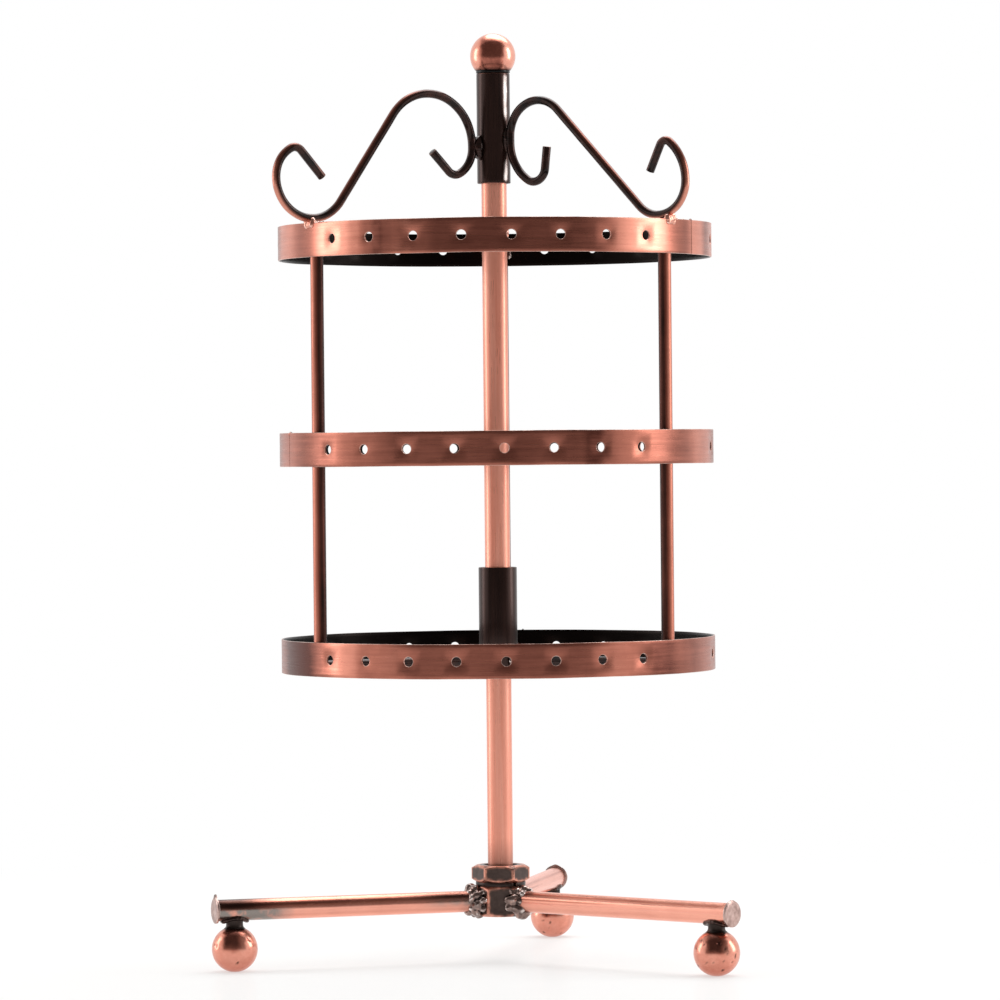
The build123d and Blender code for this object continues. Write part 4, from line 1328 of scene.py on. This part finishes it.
    def build_sleeve_welds(self) -> None:
        """Builds the beads between the scrolls and the upper sleeve, and round the spokes' roots."""
        drops: list[tuple[Vector, float]] = []
        for name, angle in SIDES.items():
            shape = SCROLLS[name]
            middle = RING_TOP + shape.contact_top - shape.contact / 2
            reach = self.sleeve_r + 0.4 + shape.standoff / 2
            for side in (-1, 1):
                for i in range(-self.contact_half, self.contact_half + 1):
                    lump = noise.noise(Vector((angle + side * 3, i * 1.9, 2)))
                    bulge = 1 - (i / self.contact_half) ** 2
                    centre = polar(reach - (0.3 + shape.standoff / 2) * (1 - bulge), angle,
                                   middle + self.contact_pitch * i)
                    size = 0.7 + (0.4 + 0.4 * shape.standoff) * bulge + 0.2 * lump
                    drops.append((centre + polar(side * (0.5 + 0.7 * bulge), angle + 90, 0), size))
        Weld("sleeve_beads", TURNING, "sleeve_welds", drops, grit=0.15, voxel=0.26, melted=4, glint=0.1,
             finish=SMOKED_WIRE).build()
        drops = []
        for angle in SIDES.values():
            for i in range(self.root_drops):
                turn = 2 * math.pi * i / self.root_drops
                centre = polar(self.lower_r + 0.5, angle, SPOKE_Z + self.root_ring * math.sin(turn))
                drops.append((centre + polar(self.root_ring * math.cos(turn), angle + 90, 0), 0.9))
        Weld("spoke_beads", TURNING, "spoke_welds", drops, grit=0.2, voxel=0.3).build()


@dataclass(frozen=True)
class InnerPieces:
    """Pieces that hardly show and keep their solids: each finish with its nodes."""
    dressed: tuple[tuple[Finish, tuple[str, ...]], ...] = (
        (ZINC_STEEL, ("finial_stud", "pole_top_plug")),
        (NYLON, ("thrust_washer", "lower_bush")),
        (SMOKED_SLEEVE, ("sleeve_cap",)),
        (NUT_BLACK, ("pole_stud",)),
    )

    def build(self) -> None:
        """Gives each of them its finish, and makes sure that no other solid shows."""
        bare = {node for node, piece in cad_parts.items() if not piece.hide_render}
        for finish, nodes in self.dressed:
            for node in nodes:
                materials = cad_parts[node].data.materials
                materials.clear()
                materials.append(SHELF.get(finish))
                bare.discard(node)
        if bare:
            raise ValueError(f"no finish for {sorted(bare)}")


@dataclass(frozen=True)
class SoftBox:
    """One soft lamp, aimed at the stand's middle: sizes in metres, power in watts."""
    name: str
    side: float               # direction from the pole, from the camera's side
    reach: float              # distance from the pole
    height: float
    width: float
    tall: float
    watts: float


@dataclass
class Studio:
    """A white sweep, soft lamps and the camera. Sizes are metres here, and pixels for the picture."""
    target: float = 0.17                  # height that the lamps are aimed at
    boxes: tuple[SoftBox, ...] = (SoftBox("left_box", -100, 1.3, 0.45, 0.4, 0.9, 3.0),
                                  SoftBox("right_box", 92, 1.3, 0.55, 0.36, 0.9, 4.5),
                                  SoftBox("top_box", 160, 0.6, 1.4, 1.2, 1.0, 12.0))
    board_half: float = 2.7               # half the dark board's width
    board_foot: float = 1.6               # its foot's distance from the pole
    board_bends: tuple[tuple[float, float], ...] = ((1.6, 1.5), (1.35, 2.0), (0.9, 2.3), (0.2, 2.4))
    floor_r: float = 14.0
    shadow_r: float = 0.14                # as far as this the floor keeps its full shadow
    white_r: float = 0.5                  # and from here on it is white
    distance: float = 2.0
    height: float = 0.1825
    focal_px: float = 5600.0
    image_px: float = 1000.0
    horizon_px: float = 450.0
    pole_px: float = 497.0
    roll: float = 0.55

    def build(self) -> None:
        """Sets the view, the floor, the lamps, the world and the camera."""
        scene = bpy.context.scene
        scene.view_settings.view_transform = "Standard"
        self.build_world(scene)
        self.build_floor()
        self.build_lamps()
        self.build_board()
        self.build_camera(scene)

    @staticmethod
    def seen_directly(tree: bpy.types.NodeTree) -> bpy.types.NodeSocket:
        """Gives 1 for a ray from the camera, off a glossy surface or through glass."""
        path = add_node(tree, "ShaderNodeLightPath")
        either = add_node(tree, "ShaderNodeMath", {0: path.outputs["Is Camera Ray"],
                                                   1: path.outputs["Is Glossy Ray"]}, operation="MAXIMUM")
        seen = add_node(tree, "ShaderNodeMath", {0: either.outputs[0],
                                                 1: path.outputs["Is Transmission Ray"]}, operation="MAXIMUM")
        return seen.outputs[0]

    def build_world(self, scene: bpy.types.Scene) -> None:
        """Makes the world white to look at and softer as a lamp."""
        world = bpy.data.worlds.new("white_room")
        scene.world = world
        world.use_nodes = True
        tree = world.node_tree
        tree.nodes.clear()
        lamp = add_node(tree, "ShaderNodeBackground", {"Color": linear("#F4F2F0"), "Strength": 0.7})
        white = add_node(tree, "ShaderNodeBackground", {"Color": linear("#FFFFFF"), "Strength": 1.0})
        mixed = add_node(tree, "ShaderNodeMixShader", {0: self.seen_directly(tree), 1: lamp.outputs[0],
                                                       2: white.outputs[0]})
        add_node(tree, "ShaderNodeOutputWorld", {"Surface": mixed.outputs[0]})

    def build_floor(self) -> None:
        """Lays a pale floor that keeps the shadow close to the feet and is white further out."""
        bm = bmesh.new()
        bmesh.ops.create_circle(bm, cap_ends=True, segments=96, radius=self.floor_r)
        floor = place_mesh(bm, "floor")
        tree = self.empty_material(floor, "white_sweep")
        place = add_node(tree, "ShaderNodeTexCoord").outputs["Object"]
        reach = add_node(tree, "ShaderNodeVectorMath", {0: place}, operation="LENGTH")
        fade = add_node(tree, "ShaderNodeMapRange", {"Value": reach.outputs["Value"],
                                                     "From Min": self.shadow_r, "From Max": self.white_r,
                                                     "To Min": 0.5, "To Max": 1.0},
                        interpolation_type="SMOOTHSTEP")
        seen = add_node(tree, "ShaderNodeMath", {0: fade.outputs[0], 1: self.seen_directly(tree)},
                        operation="MULTIPLY")
        paper = add_node(tree, "ShaderNodeBsdfDiffuse", {"Color": linear("#FBFBFA")})
        gloss = add_node(tree, "ShaderNodeBsdfGlossy", {"Color": linear("#FFFFFF"), "Roughness": 0.18})
        sheen = add_node(tree, "ShaderNodeMixShader", {0: 0.1, 1: paper.outputs[0], 2: gloss.outputs[0]})
        glow = add_node(tree, "ShaderNodeEmission", {"Color": linear("#FFFFFF"), "Strength": 1.0})
        mixed = add_node(tree, "ShaderNodeMixShader", {0: seen.outputs[0], 1: sheen.outputs[0],
                                                       2: glow.outputs[0]})
        add_node(tree, "ShaderNodeOutputMaterial", {"Surface": mixed.outputs[0]})

    @staticmethod
    def empty_material(piece: bpy.types.Object, name: str) -> bpy.types.NodeTree:
        """Gives a piece of the studio a material of its own.

        Args:
            piece: the piece.
            name: the material's name.

        Returns:
            The material's nodes, none yet.
        """
        material = bpy.data.materials.new(name)
        material.use_nodes = True
        material.node_tree.nodes.clear()
        piece.data.materials.append(material)
        return material.node_tree

    def build_lamps(self) -> None:
        """Hangs the soft boxes."""
        target = Vector((0, 0, self.target))
        for box in self.boxes:
            lamp = bpy.data.lights.new(box.name, "AREA")
            lamp.shape = "RECTANGLE"
            lamp.size, lamp.size_y, lamp.energy = box.width, box.tall, box.watts
            holder = bpy.data.objects.new(box.name, lamp)
            spot = polar(box.reach, CAMERA_SIDE + box.side, box.height)
            aim = (target - spot).to_track_quat("-Z", "Y").to_matrix().to_4x4()
            holder.matrix_world = Matrix.Translation(spot) @ aim
            bpy.context.scene.collection.objects.link(holder)

    def build_board(self) -> None:
        """Stands a dark board behind the camera, bent over at its top, for the metal to mirror."""
        bm = bmesh.new()
        side = polar(self.board_half, CAMERA_SIDE + 90, 0)
        edge = polar(self.board_foot, CAMERA_SIDE, 0)
        edges = [bm.edges.new((bm.verts.new(edge - side), bm.verts.new(edge + side)))]
        for reach, height in self.board_bends:
            made = bmesh.ops.extrude_edge_only(bm, edges=edges)["geom"]
            verts = [part for part in made if isinstance(part, bmesh.types.BMVert)]
            edges = [part for part in made if isinstance(part, bmesh.types.BMEdge)]
            shift = polar(reach, CAMERA_SIDE, height) - edge
            edge += shift
            bmesh.ops.translate(bm, vec=shift, verts=verts)
        board = place_mesh(bm, "dark_board")
        board.visible_camera = board.visible_diffuse = board.visible_shadow = False
        tree = self.empty_material(board, "grey_board")
        grey = add_node(tree, "ShaderNodeEmission", {"Color": linear("#7A7472"), "Strength": 1.0})
        add_node(tree, "ShaderNodeOutputMaterial", {"Surface": grey.outputs[0]})

    def build_camera(self, scene: bpy.types.Scene) -> None:
        """Sets the camera where the photograph was taken from."""
        data = bpy.data.cameras.new("camera")
        data.sensor_width = 36.0
        data.lens = self.focal_px * data.sensor_width / self.image_px
        data.clip_end = 100.0
        camera = bpy.data.objects.new("camera", data)
        scene.collection.objects.link(camera)
        spot = polar(self.distance, CAMERA_SIDE, self.height)
        centre = self.image_px / 2
        pitch = math.atan((centre - self.horizon_px) / self.focal_px)
        yaw = math.atan((centre - self.pole_px) / self.focal_px)
        turn = Matrix.Rotation(math.radians(CAMERA_SIDE + 90) - yaw, 4, "Z")
        aim = Matrix.Rotation(math.pi / 2 - pitch, 4, "X") @ Matrix.Rotation(-math.radians(self.roll), 4, "Z")
        camera.matrix_world = Matrix.Translation(spot) @ turn @ aim
        scene.camera = camera


def main() -> None:
    """Builds the stand, then the studio."""
    logging.basicConfig(level=logging.INFO, format="%(name)s %(message)s")
    for assembly in (TripodBase(), Pole(), TurningFrame(), InnerPieces(), Studio()):
        LOG.info("building %s", type(assembly).__name__)
        assembly.build()


if __name__ == "__main__":
    main()
